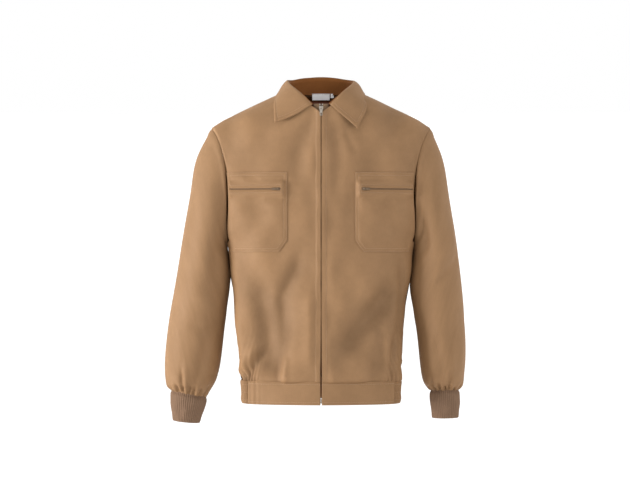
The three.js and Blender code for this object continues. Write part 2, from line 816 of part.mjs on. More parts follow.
function buildSleeve(word, sleeve) {
  const edges = sleeveEdges(sleeve);
  const mirror = (p) => p.setX(p.x * sleeve.side);
  const axisAt = (s) => mirror(edges.outer.getPoint(s).add(edges.inner.getPoint(s)).multiplyScalar(0.5));
  const point = (u, v) => mirror(sleevePoint(edges, v, 2 * Math.PI * u));
  const outward = (p) => {
    let best = axisAt(0);
    for (let s = 0; s <= 1; s += 0.05) {
      const candidate = axisAt(s);
      if (candidate.distanceTo(p) < best.distanceTo(p)) best = candidate;
    }
    return p.clone().sub(best);
  };
  const tube = sheetSolid({ point, nu: 24, nv: 17, from: 0, to: -cloth, outward, ring: true });
  add(`${word}_sleeve`, tube, "drill");

  const topDrop = new THREE.Vector3(0, 0, -2 * seamGap);
  const top = {
    outer: edges.outer.getPoint(1).add(topDrop),
    inner: edges.inner.getPoint(1).add(topDrop),
    depth: sleeveDepths.at(-1),
  };
  const end = sleeve.cuffEnd;
  const low = {
    outer: new THREE.Vector3(armholeX + end.outer[0], 0, cuffSeamZ - end.outer[1]),
    inner: new THREE.Vector3(armholeX + end.inner[0], 0, cuffSeamZ - end.inner[1]),
  };
  const cuffPoint = (u, v) => {
    const outer = top.outer.clone().lerp(low.outer, v);
    const inner = top.inner.clone().lerp(low.inner, v);
    return mirror(ringPoint(outer, inner, lerp(top.depth, end.depth, v), 2 * Math.PI * u));
  };
  const cuffMiddle = mirror(top.outer.clone().add(low.inner).multiplyScalar(0.5));
  const cuff = sheetSolid({
    point: cuffPoint,
    nu: 24,
    nv: 3,
    from: 0,
    to: -cuffWall,
    outward: (p) => p.clone().sub(cuffMiddle).setZ(0),
    ring: true,
  });
  add(`${word}_cuff`, cuff, "rib");
}

// ---- Assembly ----
add("back_panel", backPanel(), "drill");
add("collar_stand", collarStand(), "drill");
add("collar_leaf", collarLeaf(), "drill");
add("neck_label", neckLabel(), "label");
add("size_tab", sizeTab(), "label");
add("hanger_loop", hangerLoop(), "tape");
add("back_waistband", backWaistband(), "drill");
for (const [word, side] of sides) {
  add(`${word}_front_panel`, frontPanel(side), "drill");
  add(`${word}_front_facing`, frontFacing(side), "drill");
  add(`${word}_waistband`, frontWaistband(side), "drill");
  add(`${word}_side_casing`, sideCasing(side), "drill");
  add(`${word}_elastic_band`, elasticBand(side), "elastic");
  buildPocket(word, side);
  buildSleeve(word, sleeves[word]);
}
buildMainZip();

// The origin is the middle of the loop's inner face, where a peg carries the jacket.
const root = new THREE.Group();
jacket.position.set(0, -(loopFaceY + loopTape), -(loopTopZ - loopHeight / 2));
root.add(jacket);

export default root;
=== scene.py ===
import math

import bmesh
import bpy
import numpy as np
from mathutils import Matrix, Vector


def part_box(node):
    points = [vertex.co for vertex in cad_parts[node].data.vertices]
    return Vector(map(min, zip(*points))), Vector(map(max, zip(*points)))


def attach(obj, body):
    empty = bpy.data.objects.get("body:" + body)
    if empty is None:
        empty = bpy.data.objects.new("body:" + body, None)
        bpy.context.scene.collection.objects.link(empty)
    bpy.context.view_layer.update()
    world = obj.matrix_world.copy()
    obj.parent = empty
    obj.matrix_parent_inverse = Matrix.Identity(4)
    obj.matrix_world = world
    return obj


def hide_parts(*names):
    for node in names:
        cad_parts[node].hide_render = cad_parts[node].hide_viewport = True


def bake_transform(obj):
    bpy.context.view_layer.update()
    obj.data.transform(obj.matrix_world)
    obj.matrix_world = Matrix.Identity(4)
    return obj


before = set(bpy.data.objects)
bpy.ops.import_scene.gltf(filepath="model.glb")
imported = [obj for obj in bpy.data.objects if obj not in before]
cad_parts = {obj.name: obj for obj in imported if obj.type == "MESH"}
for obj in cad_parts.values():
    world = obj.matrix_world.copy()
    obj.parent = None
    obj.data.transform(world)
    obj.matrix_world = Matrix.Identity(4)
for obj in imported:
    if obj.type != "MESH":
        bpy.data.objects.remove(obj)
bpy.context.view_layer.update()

bl_info = {
    "name": "Work jacket",
    "version": (1, 0, 0),
    "blender": (4, 5, 0),
    "location": "View3D > Sidebar > Jacket",
    "description": "Makes the cloth, trims and zips of a zip-front work jacket round its fixed frame",
    "category": "Object",
}

MM = 0.001
SIDES = (("right", -1), ("left", 1))


# ---- Sizes taken from the frame ----
def low(node):
    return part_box(node)[0]


def high(node):
    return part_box(node)[1]


SEAM_Y = (low("back_panel").y + high("right_front_panel").y) / 2
HEM_Z = low("back_waistband").z
WAIST_Z = (high("back_waistband").z + low("back_panel").z) / 2
DATUM_Z = WAIST_Z + 617 * MM
SEAM_GAP = 0.8 * MM
HEM_HALF = 170 * MM
CHEST_HALF = 200 * MM
TIP_X = high("back_panel").x + SEAM_GAP
TIP_Z = DATUM_Z - 74.5 * MM
UNDERARM_Z = DATUM_Z - 322 * MM
ZIP_TOP_Z = DATUM_Z - 31 * MM
NECK_HALF = 78 * MM
NECK_POINT_Z = DATUM_Z
FRONT_NECK_Z = DATUM_Z - 52 * MM
BACK_NECK_Z = DATUM_Z - 6 * MM
ROUND_FROM_Z = DATUM_Z - 200 * MM
SHOULDER_SOFT = 60 * MM
SIDE_FLARE = 1.55
ARMHOLE_SPREAD = 50 * MM
ARMHOLE_HOOK = 4.5
DEPTH_NECK = 104 * MM
DEPTH_HEM = 122 * MM
BACK_DEPTH = 112 * MM
FRONT_GAP = 0.42 * MM
ELASTIC_FRONT_X = 155 * MM
ELASTIC_BACK_X = 135 * MM


def mix(a, b, t):
    return a + (b - a) * t


def smooth(t):
    t = np.clip(t, 0, 1)
    return t * t * (3 - 2 * t)


def bell(d, width):
    return np.exp(-((d / width) ** 2))


# ---- The body's surface, as the frame's panels have it ----
def section_width(z):
    rise = np.clip((z - HEM_Z) / (UNDERARM_Z - HEM_Z), 0, 1)
    below = HEM_HALF + (CHEST_HALF - HEM_HALF) * rise**SIDE_FLARE
    above = ARMHOLE_SPREAD * np.clip((z - UNDERARM_Z) / (TIP_Z - UNDERARM_Z), 0, 2)
    return below + above


def armhole_x(z):
    rise = np.clip((z - UNDERARM_Z) / (TIP_Z - UNDERARM_Z), 0, 1)
    return CHEST_HALF + (TIP_X - CHEST_HALF) * rise**ARMHOLE_HOOK


def shoulder_z(x):
    slope = (NECK_POINT_Z - TIP_Z) / (np.hypot(TIP_X, SHOULDER_SOFT) - np.hypot(NECK_HALF, SHOULDER_SOFT))
    return NECK_POINT_Z - slope * (np.hypot(x, SHOULDER_SOFT) - np.hypot(NECK_HALF, SHOULDER_SOFT))


def shoulder_round(x, z):
    q = np.clip((z - ROUND_FROM_Z) / (shoulder_z(x) - ROUND_FROM_Z), 0, 1)
    return (1 - q**2.2) ** (1 / 2.2)


def section_shape(x, z):
    xi = np.clip(np.abs(x) / section_width(z), 0, 1)
    return (1 - xi**4.5) ** (1 / 4.5) * (1 - 0.25 * xi**1.4)


def centre_front_depth(z):
    return mix(DEPTH_NECK, DEPTH_HEM, (ZIP_TOP_Z - z) / (ZIP_TOP_Z - HEM_Z))


def body_depth(face, x, z):
    if face == "front":
        turn = shoulder_round(x, z) / shoulder_round(0 * x, z)
        return centre_front_depth(z) * section_shape(x, z) * turn
    return BACK_DEPTH * section_shape(x, z) * shoulder_round(x, z)


def body_point(face, x, z):
    x, z = np.broadcast_arrays(x, z)
    sign = -1 if face == "front" else 1
    return np.stack([x, SEAM_Y + sign * (body_depth(face, x, z) + SEAM_GAP / 2), z], axis=-1)


def body_normal(face, x, z):
    x, z = np.broadcast_arrays(x, z)
    step = 0.6 * MM
    inward = np.where(x >= 0, -step, step)
    dx = (body_depth(face, x + inward, z) - body_depth(face, x, z)) / inward
    dz = (body_depth(face, x, z) - body_depth(face, x, z - step)) / step
    sign = -1 if face == "front" else 1
    n = np.stack([-dx, np.full_like(dx, float(sign)), -dz], axis=-1)
    return n / np.linalg.norm(n, axis=-1, keepdims=True)


# ---- Folds ----
def fold(px, pz, line, width, height, lean=0.0, ends=0.25):
    """Height of one fold at points (px, pz). line is its ridge in millimetres from the neck, x then down.
    A negative height is a valley; lean puts a soft valley beside the ridge; ends is the faded share."""
    pts = np.array(line, float) * MM
    pts[:, 1] = DATUM_Z - pts[:, 1]
    seg = np.linalg.norm(np.diff(pts, axis=0), axis=1)
    total = seg.sum()
    best = np.full(px.shape, 1e9)
    along = np.zeros(px.shape)
    side = np.zeros(px.shape)
    start = 0.0
    for a, b, length in zip(pts[:-1], pts[1:], seg):
        d = (b - a) / length
        rx, rz = px - a[0], pz - a[1]
        t = np.clip(rx * d[0] + rz * d[1], 0, length)
        off = np.hypot(rx - t * d[0], rz - t * d[1])
        nearer = off < best
        best = np.where(nearer, off, best)
        along = np.where(nearer, (start + t) / total, along)
        side = np.where(nearer, np.sign(rx * d[1] - rz * d[0]) * off, side)
        start += length
    fade = smooth(along / ends) * smooth((1 - along) / ends) * 0.85 + 0.15
    w = width * MM
    shape = bell(side, w)
    if lean != 0:
        shape = shape - abs(lean) * bell(side - np.sign(lean) * 1.7 * w, 1.2 * w)
    reach = np.where((along <= 0) | (along >= 1), bell(best, w), 1)
    return height * MM * shape * fade * reach


def ripple(a, b, size, seed, waves=14):
    """A smooth random surface of about unit height, with waves about size long."""
    rng = np.random.default_rng(seed)
    out = np.zeros(np.broadcast(a, b).shape)
    for _ in range(waves):
        angle = rng.uniform(0, 2 * math.pi)
        k = 2 * math.pi / (size * rng.uniform(0.6, 1.6))
        out = out + np.cos(k * (a * math.cos(angle) + b * math.sin(angle)) + rng.uniform(0, 2 * math.pi))
    return out / math.sqrt(waves / 2)


FRONT_FOLDS = (
    # the wearer's right front
    ([(-36, 320), (-56, 385), (-82, 440), (-76, 527), (-88, 590)], 17, -5.4, 0.0),
    ([(-20, 420), (-19, 527), (-30, 600)], 22, 4.2, 0.0),
    ([(-70, 150), (-84, 280), (-128, 400)], 34, 1.6, 0.0),
    ([(-132, 390), (-122, 470), (-116, 527), (-112, 575), (-120, 618)], 25, -7.6, 0.0),
    ([(-122, 548), (-146, 588), (-168, 622)], 9, -4.0, 0.9),
    ([(-172, 470), (-166, 540), (-158, 604)], 9, 3.5, 0.0),
    ([(-75, 560), (-78, 600), (-74, 622)], 8, 2.5, 0.8),
    ([(-20, 60), (-44, 130), (-52, 210)], 18, -2.0, 0.0),
    # the wearer's left front
    ([(168, 405), (128, 462), (84, 512), (40, 572)], 29, -6.8, 0.0),
    ([(130, 380), (94, 438), (52, 496), (14, 546)], 25, 2.6, 0.0),
    ([(30, 508), (80, 482), (140, 466)], 32, -2.6, 0.0),
    ([(129, 490), (128, 560), (131, 616)], 11, -2.4, -0.4),
    ([(158, 520), (151, 580), (147, 622)], 9, -3.6, 0.5),
    ([(116, 560), (110, 600), (98, 620)], 10, -1.6, 0.6),
    ([(50, 80), (58, 104), (74, 140)], 9, -1.1, 0.4),
    ([(32, 60), (34, 150), (30, 250)], 16, -2.4, 0.0),
    ([(78, 350), (48, 420), (40, 500)], 22, 3.0, 0.0),
    ([(170, 360), (176, 440), (168, 540)], 12, -3.5, 0.0),
)
BACK_FOLDS = (
    ([(-150, 130), (-120, 240), (-128, 380)], 22, -4.0, 0.0),
    ([(152, 120), (116, 250), (124, 400)], 22, -4.0, 0.0),
    ([(-40, 250), (-56, 420), (-48, 600)], 28, 4.5, 0.0),
    ([(58, 300), (70, 440), (60, 606)], 26, 4.5, 0.0),
    ([(-104, 420), (-98, 520), (-110, 612)], 14, -4.0, 0.6),
    ([(106, 400), (110, 520), (100, 612)], 14, -4.0, -0.6),
    ([(6, 330), (2, 460), (10, 610)], 20, -3.0, 0.0),
    ([(-172, 400), (-160, 500), (-150, 610)], 12, 4.0, 0.0),
    ([(170, 400), (160, 500), (148, 610)], 12, 4.0, 0.0),
    ([(-30, 60), (-70, 120), (-96, 200)], 16, -2.2, 0.0),
    ([(30, 60), (66, 120), (98, 210)], 16, -2.2, 0.0),
)


def body_relief(face, x, z, strength):
    """How far the cloth stands off the smooth body at each point."""
    folds = FRONT_FOLDS if face == "front" else BACK_FOLDS
    out = np.zeros(np.broadcast(x, z).shape)
    for line, width, height, lean in folds:
        out = out + fold(x, z, line, width, height, lean)
    out = out + 0.9 * MM * ripple(x, z * 0.6, 90 * MM, 3 if face == "front" else 4)
    above = z - WAIST_Z
    out = out + 1.1 * MM * bell(above - 9 * MM, 12 * MM)
    # the side seam hangs close against the sleeve
    out = out + 1.8 * MM * bell(z - DATUM_Z + 395 * MM, 46 * MM) * smooth((np.abs(x) - 165 * MM) / (28 * MM))
    # short gathers that fan up from the elastic sides
    edge = ELASTIC_FRONT_X if face == "front" else ELASTIC_BACK_X
    near = smooth((np.abs(x) - edge + 34 * MM) / (34 * MM))
    run = np.abs(x) + above * 0.12
    pleat = np.cos(2 * math.pi * run / (8.5 * MM) + 1.4 * ripple(x, z, 60 * MM, 9))
    out = out + 1.5 * MM * near * pleat * np.exp(-np.clip(above, 0, 1) / (36 * MM))
    if face == "back":
        return out * strength * 2.0
    calm = smooth((np.abs(x) - 2 * MM) / (26 * MM))
    # flat behind the pocket's zip
    by_zip = smooth((40 * MM - np.abs(z - ZIP_Z)) / (22 * MM)) * smooth((np.abs(x) - 40 * MM) / (26 * MM))
    return mix(out, np.minimum(out, 0), by_zip) * strength * calm * 2.0


def painted_fold_shading(face, x, z, strength):
    """Painted light and shade for the cloth's colour: paler where a fold stands out, deeper in its hollow."""
    share = 0.36 if face == "front" else 0.15
    return share * np.clip(body_relief(face, x, z, strength) / (10 * MM), -1.0, 0.5)


def neckline_z(face, x):
    share = np.clip(np.abs(x) / NECK_HALF, 0, 1)
    if face == "front":
        return mix(FRONT_NECK_Z, NECK_POINT_Z, share**0.85)
    return mix(BACK_NECK_Z, NECK_POINT_Z, share**2)


def top_edge_z(face, x):
    return np.where(np.abs(x) >= NECK_HALF, shoulder_z(x), neckline_z(face, x))


def front_edge(z):
    """Half the space between the front edges, which widens below and wavers a little."""
    waver = 0.2 * MM * np.sin(z * 61) + 0.1 * MM * np.sin(z * 143 + 1)
    return FRONT_GAP + 1.3 * MM * smooth((DATUM_Z - 500 * MM - z) / (90 * MM)) + waver


def placket_relief(x, z):
    """The pressed fold beside the zip: a flat strip, then a stitched step down."""
    d = np.abs(x) - front_edge(z)
    rise = np.where(x < 0, 1.4, 0.6) * MM
    raised = rise * (1 - smooth((d - 7.6 * MM + 0.7 * MM * np.sin(z * 83)) / (3.8 * MM)))
    return raised - 0.7 * MM * bell(d, 0.7 * MM)


def tip_drop(x, z):
    """How far the shoulder tips sag, soft as they are."""
    outwards = smooth((np.abs(x) - TIP_X + 30 * MM) / (30 * MM))
    upwards = smooth((z - TIP_Z + 36 * MM) / (36 * MM))
    return 3.4 * MM * outwards * upwards


def body_surface(face, x, z, strength):
    lift = body_relief(face, x, z, strength)
    if face == "front":
        lift = lift + placket_relief(x, z)
    # nothing may lift off the seams
    edge = armhole_x(z) - np.abs(x)
    seam = smooth(edge / (9 * MM)) * smooth((shoulder_z(x) - z) / (10 * MM) + 0.15)
    crease = smooth((TIP_Z - 40 * MM - z) / (80 * MM)) if face == "front" else 0
    sunk = -(0.9 + 3.6 * crease) * MM * bell(edge - SEAM_GAP, (1.6 + 2.6 * crease) * MM)
    lift = np.where(z > UNDERARM_Z, lift * seam + sunk, lift)
    # the last of it is caught behind the waistband
    lift = lift - 2.9 * MM * (1 - smooth((z - WAIST_Z + 2.4 * MM) / (4.6 * MM)))
    points = body_point(face, x, z) + body_normal(face, x, z) * lift[..., None]
    points[..., 2] -= tip_drop(points[..., 0], points[..., 2])
    return points


# ---- Curves ----
def spline(points, t):
    """A smooth curve through the points that doesn't overshoot. Each span is an equal share of t."""
    p = np.array(points, float)
    if p.ndim == 1:
        p = p[:, None]
    last = len(p) - 2
    p = np.vstack([2 * p[0] - p[1], p, 2 * p[-1] - p[-2]])
    knot = np.maximum(np.linalg.norm(np.diff(p, axis=0), axis=1) ** 0.5, 1e-9)
    t = np.clip(np.asarray(t, float), 0, 1) * (last + 1)
    i = np.minimum(t.astype(int), last)
    f = (t - i)[..., None]
    a, b, c, d = p[i], p[i + 1], p[i + 2], p[i + 3]
    k0, k1, k2 = knot[i][..., None], knot[i + 1][..., None], knot[i + 2][..., None]
    m0 = ((b - a) / k0 - (c - a) / (k0 + k1) + (c - b) / k1) * k1
    m1 = ((c - b) / k1 - (d - b) / (k1 + k2) + (d - c) / k2) * k1
    return b + m0 * f + (3 * (c - b) - 2 * m0 - m1) * f**2 + (2 * (b - c) + m0 + m1) * f**3


# ---- Meshes ----
def grid_normals(points, ring=False):
    if ring:
        du = np.roll(points, -1, axis=1) - np.roll(points, 1, axis=1)
    else:
        du = np.gradient(points, axis=1)
    dv = np.gradient(points, axis=0)
    n = np.cross(du, dv)
    return n / np.maximum(np.linalg.norm(n, axis=-1, keepdims=True), 1e-12)


def lengths(points, axis):
    step = np.linalg.norm(np.diff(points, axis=axis), axis=-1)
    pad = [(0, 0), (0, 0)]
    pad[axis] = (1, 0)
    return np.cumsum(np.pad(step, pad), axis=axis)


def new_object(name, verts, faces, finish, body, attributes=None, outward=None):
    mesh = bpy.data.meshes.new(name)
    mesh.from_pydata(verts.tolist(), [], faces)
    mesh.update()
    mesh.polygons.foreach_set("use_smooth", np.ones(len(mesh.polygons), bool))
    for key, values in (attributes or {}).items():
        kind, field = ("FLOAT_VECTOR", "vector") if values.ndim == 2 else ("FLOAT", "value")
        attribute = mesh.attributes.new(key, kind, "POINT")
        attribute.data.foreach_set(field, values.astype(np.float32).ravel())
    if outward is not None:
        sample = list(mesh.polygons)[:: max(1, len(mesh.polygons) // 200)]
        if sum(p.normal.dot(Vector(outward(p.center))) for p in sample) < 0:
            mesh.flip_normals()
    for one in finish:
        mesh.materials.append(material(one))
    obj = bpy.data.objects.new(name, mesh)
    bpy.context.scene.collection.objects.link(obj)
    if body:
        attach(obj, body)
    return obj


def grid_faces(rows, cols, ring=False, skip=None):
    faces = []
    for j in range(rows - 1):
        for i in range(cols if ring else cols - 1):
            if skip is not None and skip[j, i]:
                continue
            k = (i + 1) % cols
            faces.append((j * cols + i, j * cols + k, (j + 1) * cols + k, (j + 1) * cols + i))
    return faces


def cloth_piece(name, points, finish, body, outward, ring=False, thick=None, skip=None, painted_shading=None):
    """A cloth piece from a grid of points, with its weave laid along the grid, a real thickness and painted
    light and shade for its colour.
    """
    rows, cols = points.shape[:2]
    u, v = lengths(points, 1), lengths(points, 0)
    u = u[rows // 2][None, :] + 0 * u
    weave = np.stack([u, v, 0 * u], axis=-1).reshape(-1, 3)
    # painted light and shade per point, read by the cloth shaders as a shift in tone
    attributes = {"cloth": weave, "painted_shading": (np.zeros(rows * cols) if painted_shading is None else painted_shading.ravel())}
    faces = grid_faces(rows, cols, ring, skip)
    obj = new_object(name, points.reshape(-1, 3), faces, finish, body, attributes, outward)
    solid = obj.modifiers.new("thickness", "SOLIDIFY")
    solid.thickness = thick or bpy.context.scene.jacket_sizes.cloth
    solid.offset = -1
    solid.use_rim = True
    if len(finish) > 1:
        solid.material_offset = 1
    return obj


def stitches(name, rows, body):
    """Rows of thread stitches. A row is a path on the cloth and the outward directions along it."""
    sizes = bpy.context.scene.jacket_sizes
    stitch, gap, thick = sizes.stitch, sizes.stitch * 0.3, sizes.thread
    verts, faces = [], []
    for path, normals in rows:
        sew_row(verts, faces, path, normals, stitch, gap, thick)
    return new_object(name, np.array(verts), faces, ["thread"], body)


def sew_row(verts, faces, path, normals, stitch, gap, thick):
    step = np.linalg.norm(np.diff(path, axis=0), axis=1)
    at = np.concatenate([[0], np.cumsum(step)])
    count = max(1, int(at[-1] / (stitch + gap)))
    starts = np.arange(count) * (at[-1] / count)
    for s in starts:
        stations = np.array([0, 0.2, 0.8, 1.0]) * stitch + s
        centre = np.stack([np.interp(stations, at, path[:, k]) for k in range(3)], axis=1)
        n = np.stack([np.interp(stations, at, normals[:, k]) for k in range(3)], axis=1)
        n = n / np.linalg.norm(n, axis=1, keepdims=True)
        along = centre[-1] - centre[0]
        along = along / max(np.linalg.norm(along), 1e-9)
        base = len(verts)
        for c, nn, lift, size in zip(centre, n, (-0.1, 0.28, 0.28, -0.1), (0.45, 1, 1, 0.45)):
            across = np.cross(nn, along)
            for ax, up in ((1, 0), (0, 0.8), (-1, 0), (0, -0.8)):
                verts.append(c + nn * thick * (lift + 0.5 * up * size) + across * thick * 0.55 * ax * size)
        for r in range(3):
            for k in range(4):
                a, b = base + r * 4 + k, base + r * 4 + (k + 1) % 4
                faces.append((a, b, b + 4, a + 4))
        faces.append(tuple(base + k for k in (3, 2, 1, 0)))
        faces.append(tuple(base + 12 + k for k in (0, 1, 2, 3)))


# ---- Shader maths ----
class Value:
    """A socket that can be written in expressions."""

    def __init__(self, graph, socket):
        self.graph = graph
        self.socket = socket

    def __add__(self, other):
        return self.graph.math("ADD", self, other)

    def __radd__(self, other):
        return self.graph.math("ADD", other, self)

    def __sub__(self, other):
        return self.graph.math("SUBTRACT", self, other)

    def __rsub__(self, other):
        return self.graph.math("SUBTRACT", other, self)

    def __mul__(self, other):
        return self.graph.math("MULTIPLY", self, other)

    def __rmul__(self, other):
        return self.graph.math("MULTIPLY", other, self)

    def __truediv__(self, other):
        return self.graph.math("DIVIDE", self, other)

    def __rtruediv__(self, other):
        return self.graph.math("DIVIDE", other, self)

    def __pow__(self, other):
        return self.graph.math("POWER", self, other)

    def sin(self):
        return self.graph.math("SINE", self)

    def abs(self):
        return self.graph.math("ABSOLUTE", self)


class Graph:
    """A material and the nodes it is made of."""

    def __init__(self, name):
        self.material = bpy.data.materials.new(name)
        self.material.use_nodes = True
        self.tree = self.material.node_tree
        self.tree.nodes.clear()
        self.shader = None

    def node(self, kind, settings=None, inputs=None, output=0):
        """Any node: its settings first, then values or links for its sockets. Gives one output."""
        made = self.tree.nodes.new("ShaderNode" + kind)
        for key, value in (settings or {}).items():
            setattr(made, key, value)
        for key, value in (inputs or {}).items():
            socket = made.inputs[key]
            if isinstance(value, Value):
                self.tree.links.new(value.socket, socket)
            else:
                socket.default_value = value
        return Value(self, made.outputs[output])

    def math(self, operation, *values):
        return self.node("Math", {"operation": operation}, dict(enumerate(values)))

    def vector(self, operation, a, b):
        return self.node("VectorMath", {"operation": operation}, {0: a, 1: b})

    def attribute(self, name, output="Vector"):
        return self.node("Attribute", {"attribute_name": name}, output=output)

    def noise(self, at, scale, detail=3.0, rough=0.55):
        return self.node("TexNoise", None,
                         {"Vector": at, "Scale": scale, "Detail": detail, "Roughness": rough})

    def colour(self, share, first, second):
        inputs = {0: share, 6: first, 7: second}
        return self.node("Mix", {"data_type": "RGBA", "clamp_factor": True}, inputs, output=2)

    def range(self, value, low_in, high_in, low_out=0.0, high_out=1.0):
        inputs = {0: value, 1: low_in, 2: high_in, 3: low_out, 4: high_out}
        return self.node("MapRange", {"clamp": True}, inputs)

    def bump(self, height, strength, distance):
        return self.node("Bump", None, {"Strength": strength, "Distance": distance, "Height": height})

    def finish(self, uniform, varying):
        """The surface shader: uniform values are set on its own sockets, varying ones are linked."""
        shader = self.tree.nodes.new("ShaderNodeBsdfPrincipled")
        for key, value in uniform.items():
            shader.inputs[key].default_value = value
        for key, value in varying.items():
            self.tree.links.new(value.socket, shader.inputs[key])
        out = self.tree.nodes.new("ShaderNodeOutputMaterial")
        self.tree.links.new(shader.outputs[0], out.inputs[0])
        return self.material


def rgba(colour, shade=1.0):
    return (*[min(1.0, c * shade) for c in colour[:3]], 1.0)


def drill_cloth(name, colour, deep=0.72, pale=1.2, sheen=0.22, gloss=0.36):
    """Twill-woven drill: a fine diagonal rib, slubby yarn, a soft uneven dye and the piece's painted light
    and shade.
    """
    g = Graph(name)
    cloth = g.attribute("cloth")
    split = g.node("SeparateXYZ", None, {0: cloth})
    across = split
    along = Value(g, split.socket.node.outputs[1])
    rib = ((across + along * 0.62) * (2 * math.pi / (0.95 * MM))).sin()
    yarn = g.noise(g.vector("MULTIPLY", cloth, (700.0, 90.0, 1.0)), 1.0, 2.0)
    weft = g.noise(g.vector("MULTIPLY", cloth, (60.0, 900.0, 1.0)), 1.0, 2.0)
    cloud = g.noise(cloth, 16.0, 4.0, 0.6)
    # painted light and shade from the folds and gathers, added to the colour's tone
    painted_shading = g.attribute("painted_shading", "Fac")
    tone = 0.5 + rib * 0.05 + (yarn - 0.5) * 0.35 + (weft - 0.5) * 0.22 + (cloud - 0.5) * 0.8 + painted_shading
    base = g.colour(tone, rgba(colour, deep), rgba(colour, pale))
    rough = g.range(cloud + painted_shading * 0.3, 0.2, 0.9, 0.82, 0.62)
    height = rib * 0.5 + (yarn - 0.5) * 1.2 + (weft - 0.5) * 0.9
    normal = g.bump(height, 0.35, 0.12 * MM)
    uniform = {"Sheen Weight": sheen, "Sheen Roughness": 0.45, "Sheen Tint": rgba(colour, 2.1)}
    uniform["Specular IOR Level"] = gloss
    return g.finish(uniform, {"Base Color": base, "Roughness": rough, "Normal": normal})


def rib_knit(name, colour):
    """Ribbed knit: fuzzy yarn loops stacked along each rib, with painted shade between the ribs."""
    g = Graph(name)
    cloth = g.attribute("cloth")
    split = g.node("SeparateXYZ", None, {0: cloth})
    along = Value(g, split.socket.node.outputs[1])
    loops = (along * (2 * math.pi / (1.5 * MM)) + (split * (math.pi / (0.9 * MM))).sin() * 1.4).sin()
    fuzz = g.noise(cloth, 900.0, 3.0, 0.7)
    cloud = g.noise(cloth, 40.0, 3.0)
    # painted shade in the rib valleys and painted light on the rib crests, from the cuff
    valley = g.attribute("painted_shading", "Fac")
    tone = 0.5 + loops * 0.16 + (fuzz - 0.5) * 0.8 + (cloud - 0.5) * 0.4 + valley
    base = g.colour(tone, rgba(colour, 0.55), rgba(colour, 1.3))
    rough = g.range(fuzz, 0.2, 0.8, 0.98, 0.86)
    normal = g.bump(loops * 0.6 + fuzz, 0.5, 0.3 * MM)
    uniform = {"Sheen Weight": 0.45, "Sheen Roughness": 0.6, "Sheen Tint": rgba(colour, 2.0)}
    uniform["Specular IOR Level"] = 0.2
    return g.finish(uniform, {"Base Color": base, "Roughness": rough, "Normal": normal})


def narrow_tape(name, colour, pitch=0.8, deep=0.6, pale=1.3):
    """Woven tape, with a fine cross rib."""
    g = Graph(name)
    place = g.node("TexCoord", None, None, output="Object")
    split = g.node("SeparateXYZ", None, {0: place})
    down = Value(g, split.socket.node.outputs[2])
    rib = ((down + split * 0.3) * (2 * math.pi / (pitch * MM))).sin()
    grain = g.noise(place, 800.0, 3.0)
    tone = 0.5 + rib * 0.18 + (grain - 0.5) * 0.7
    base = g.colour(tone, rgba(colour, deep), rgba(colour, pale))
    rough = g.range(grain, 0.2, 0.8, 0.92, 0.75)
    normal = g.bump(rib * 0.5 + grain, 0.5, 0.15 * MM)
    uniform = {"Sheen Weight": 0.2, "Specular IOR Level": 0.3}
    return g.finish(uniform, {"Base Color": base, "Roughness": rough, "Normal": normal})


def thread(name, colour):
    """Sewing thread, two plies twisted together."""
    g = Graph(name)
    place = g.node("TexCoord", None, None, output="Object")
    split = g.node("SeparateXYZ", None, {0: place})
    down = Value(g, split.socket.node.outputs[2])
    twist = ((split + down) * (2 * math.pi / (0.7 * MM))).sin()
    grain = g.noise(place, 1500.0, 2.0)
    base = g.colour(0.5 + twist * 0.3 + (grain - 0.5) * 0.5, rgba(colour, 0.7), rgba(colour, 1.2))
    rough = g.range(grain, 0.2, 0.8, 0.7, 0.5)
    normal = g.bump(twist, 0.4, 0.1 * MM)
    return g.finish({"Sheen Weight": 0.2}, {"Base Color": base, "Roughness": rough, "Normal": normal})


def zip_metal(name, colour):
    """Die-cast zip metal: dull in its hollows, polished bright by handling, with fine scratches."""
    g = Graph(name)
    place = g.node("TexCoord", None, None, output="Object")
    grain = g.noise(place, 700.0, 4.0, 0.65)
    scratch = g.noise(g.vector("MULTIPLY", place, (2600.0, 300.0, 300.0)), 1.0, 2.0)
    tone = (grain - 0.5) * 1.2 + (scratch - 0.5) * 0.8 + 0.5
    base = g.colour(tone, rgba(colour, 0.6), rgba(colour, 1.15))
    rough = g.range(grain + scratch * 0.5, 0.4, 1.1, 0.28, 0.5)
    normal = g.bump(scratch * 0.4 + grain, 0.15, 0.1 * MM)
    uniform = {"Metallic": 0.92, "Specular IOR Level": 0.5}
    return g.finish(uniform, {"Base Color": base, "Roughness": rough, "Normal": normal})


def zip_plastic(name, colour):
    """Dyed coil or moulded teeth, faintly mottled."""
    g = Graph(name)
    place = g.node("TexCoord", None, None, output="Object")
    grain = g.noise(place, 600.0, 3.0)
    base = g.colour(grain, rgba(colour, 0.6), rgba(colour, 1.35))
    rough = g.range(grain, 0.2, 0.8, 0.36, 0.55)
    normal = g.bump(grain, 0.2, 0.1 * MM)
    return g.finish({"Specular IOR Level": 0.5}, {"Base Color": base, "Roughness": rough, "Normal": normal})


def pale_floor(name, colour):
    """Matt studio floor with a faint mottle."""
    g = Graph(name)
    place = g.node("TexCoord", None, None, output="Object")
    cloud = g.noise(place, 3.0, 3.0)
    base = g.colour(cloud, rgba(colour, 0.985), rgba(colour, 1.0))
    rough = g.range(cloud, 0.2, 0.8, 0.85, 0.95)
    glow = {"Specular IOR Level": 0.1, "Emission Color": rgba(colour), "Emission Strength": 0.22}
    return g.finish(glow, {"Base Color": base, "Roughness": rough})


_materials = {}


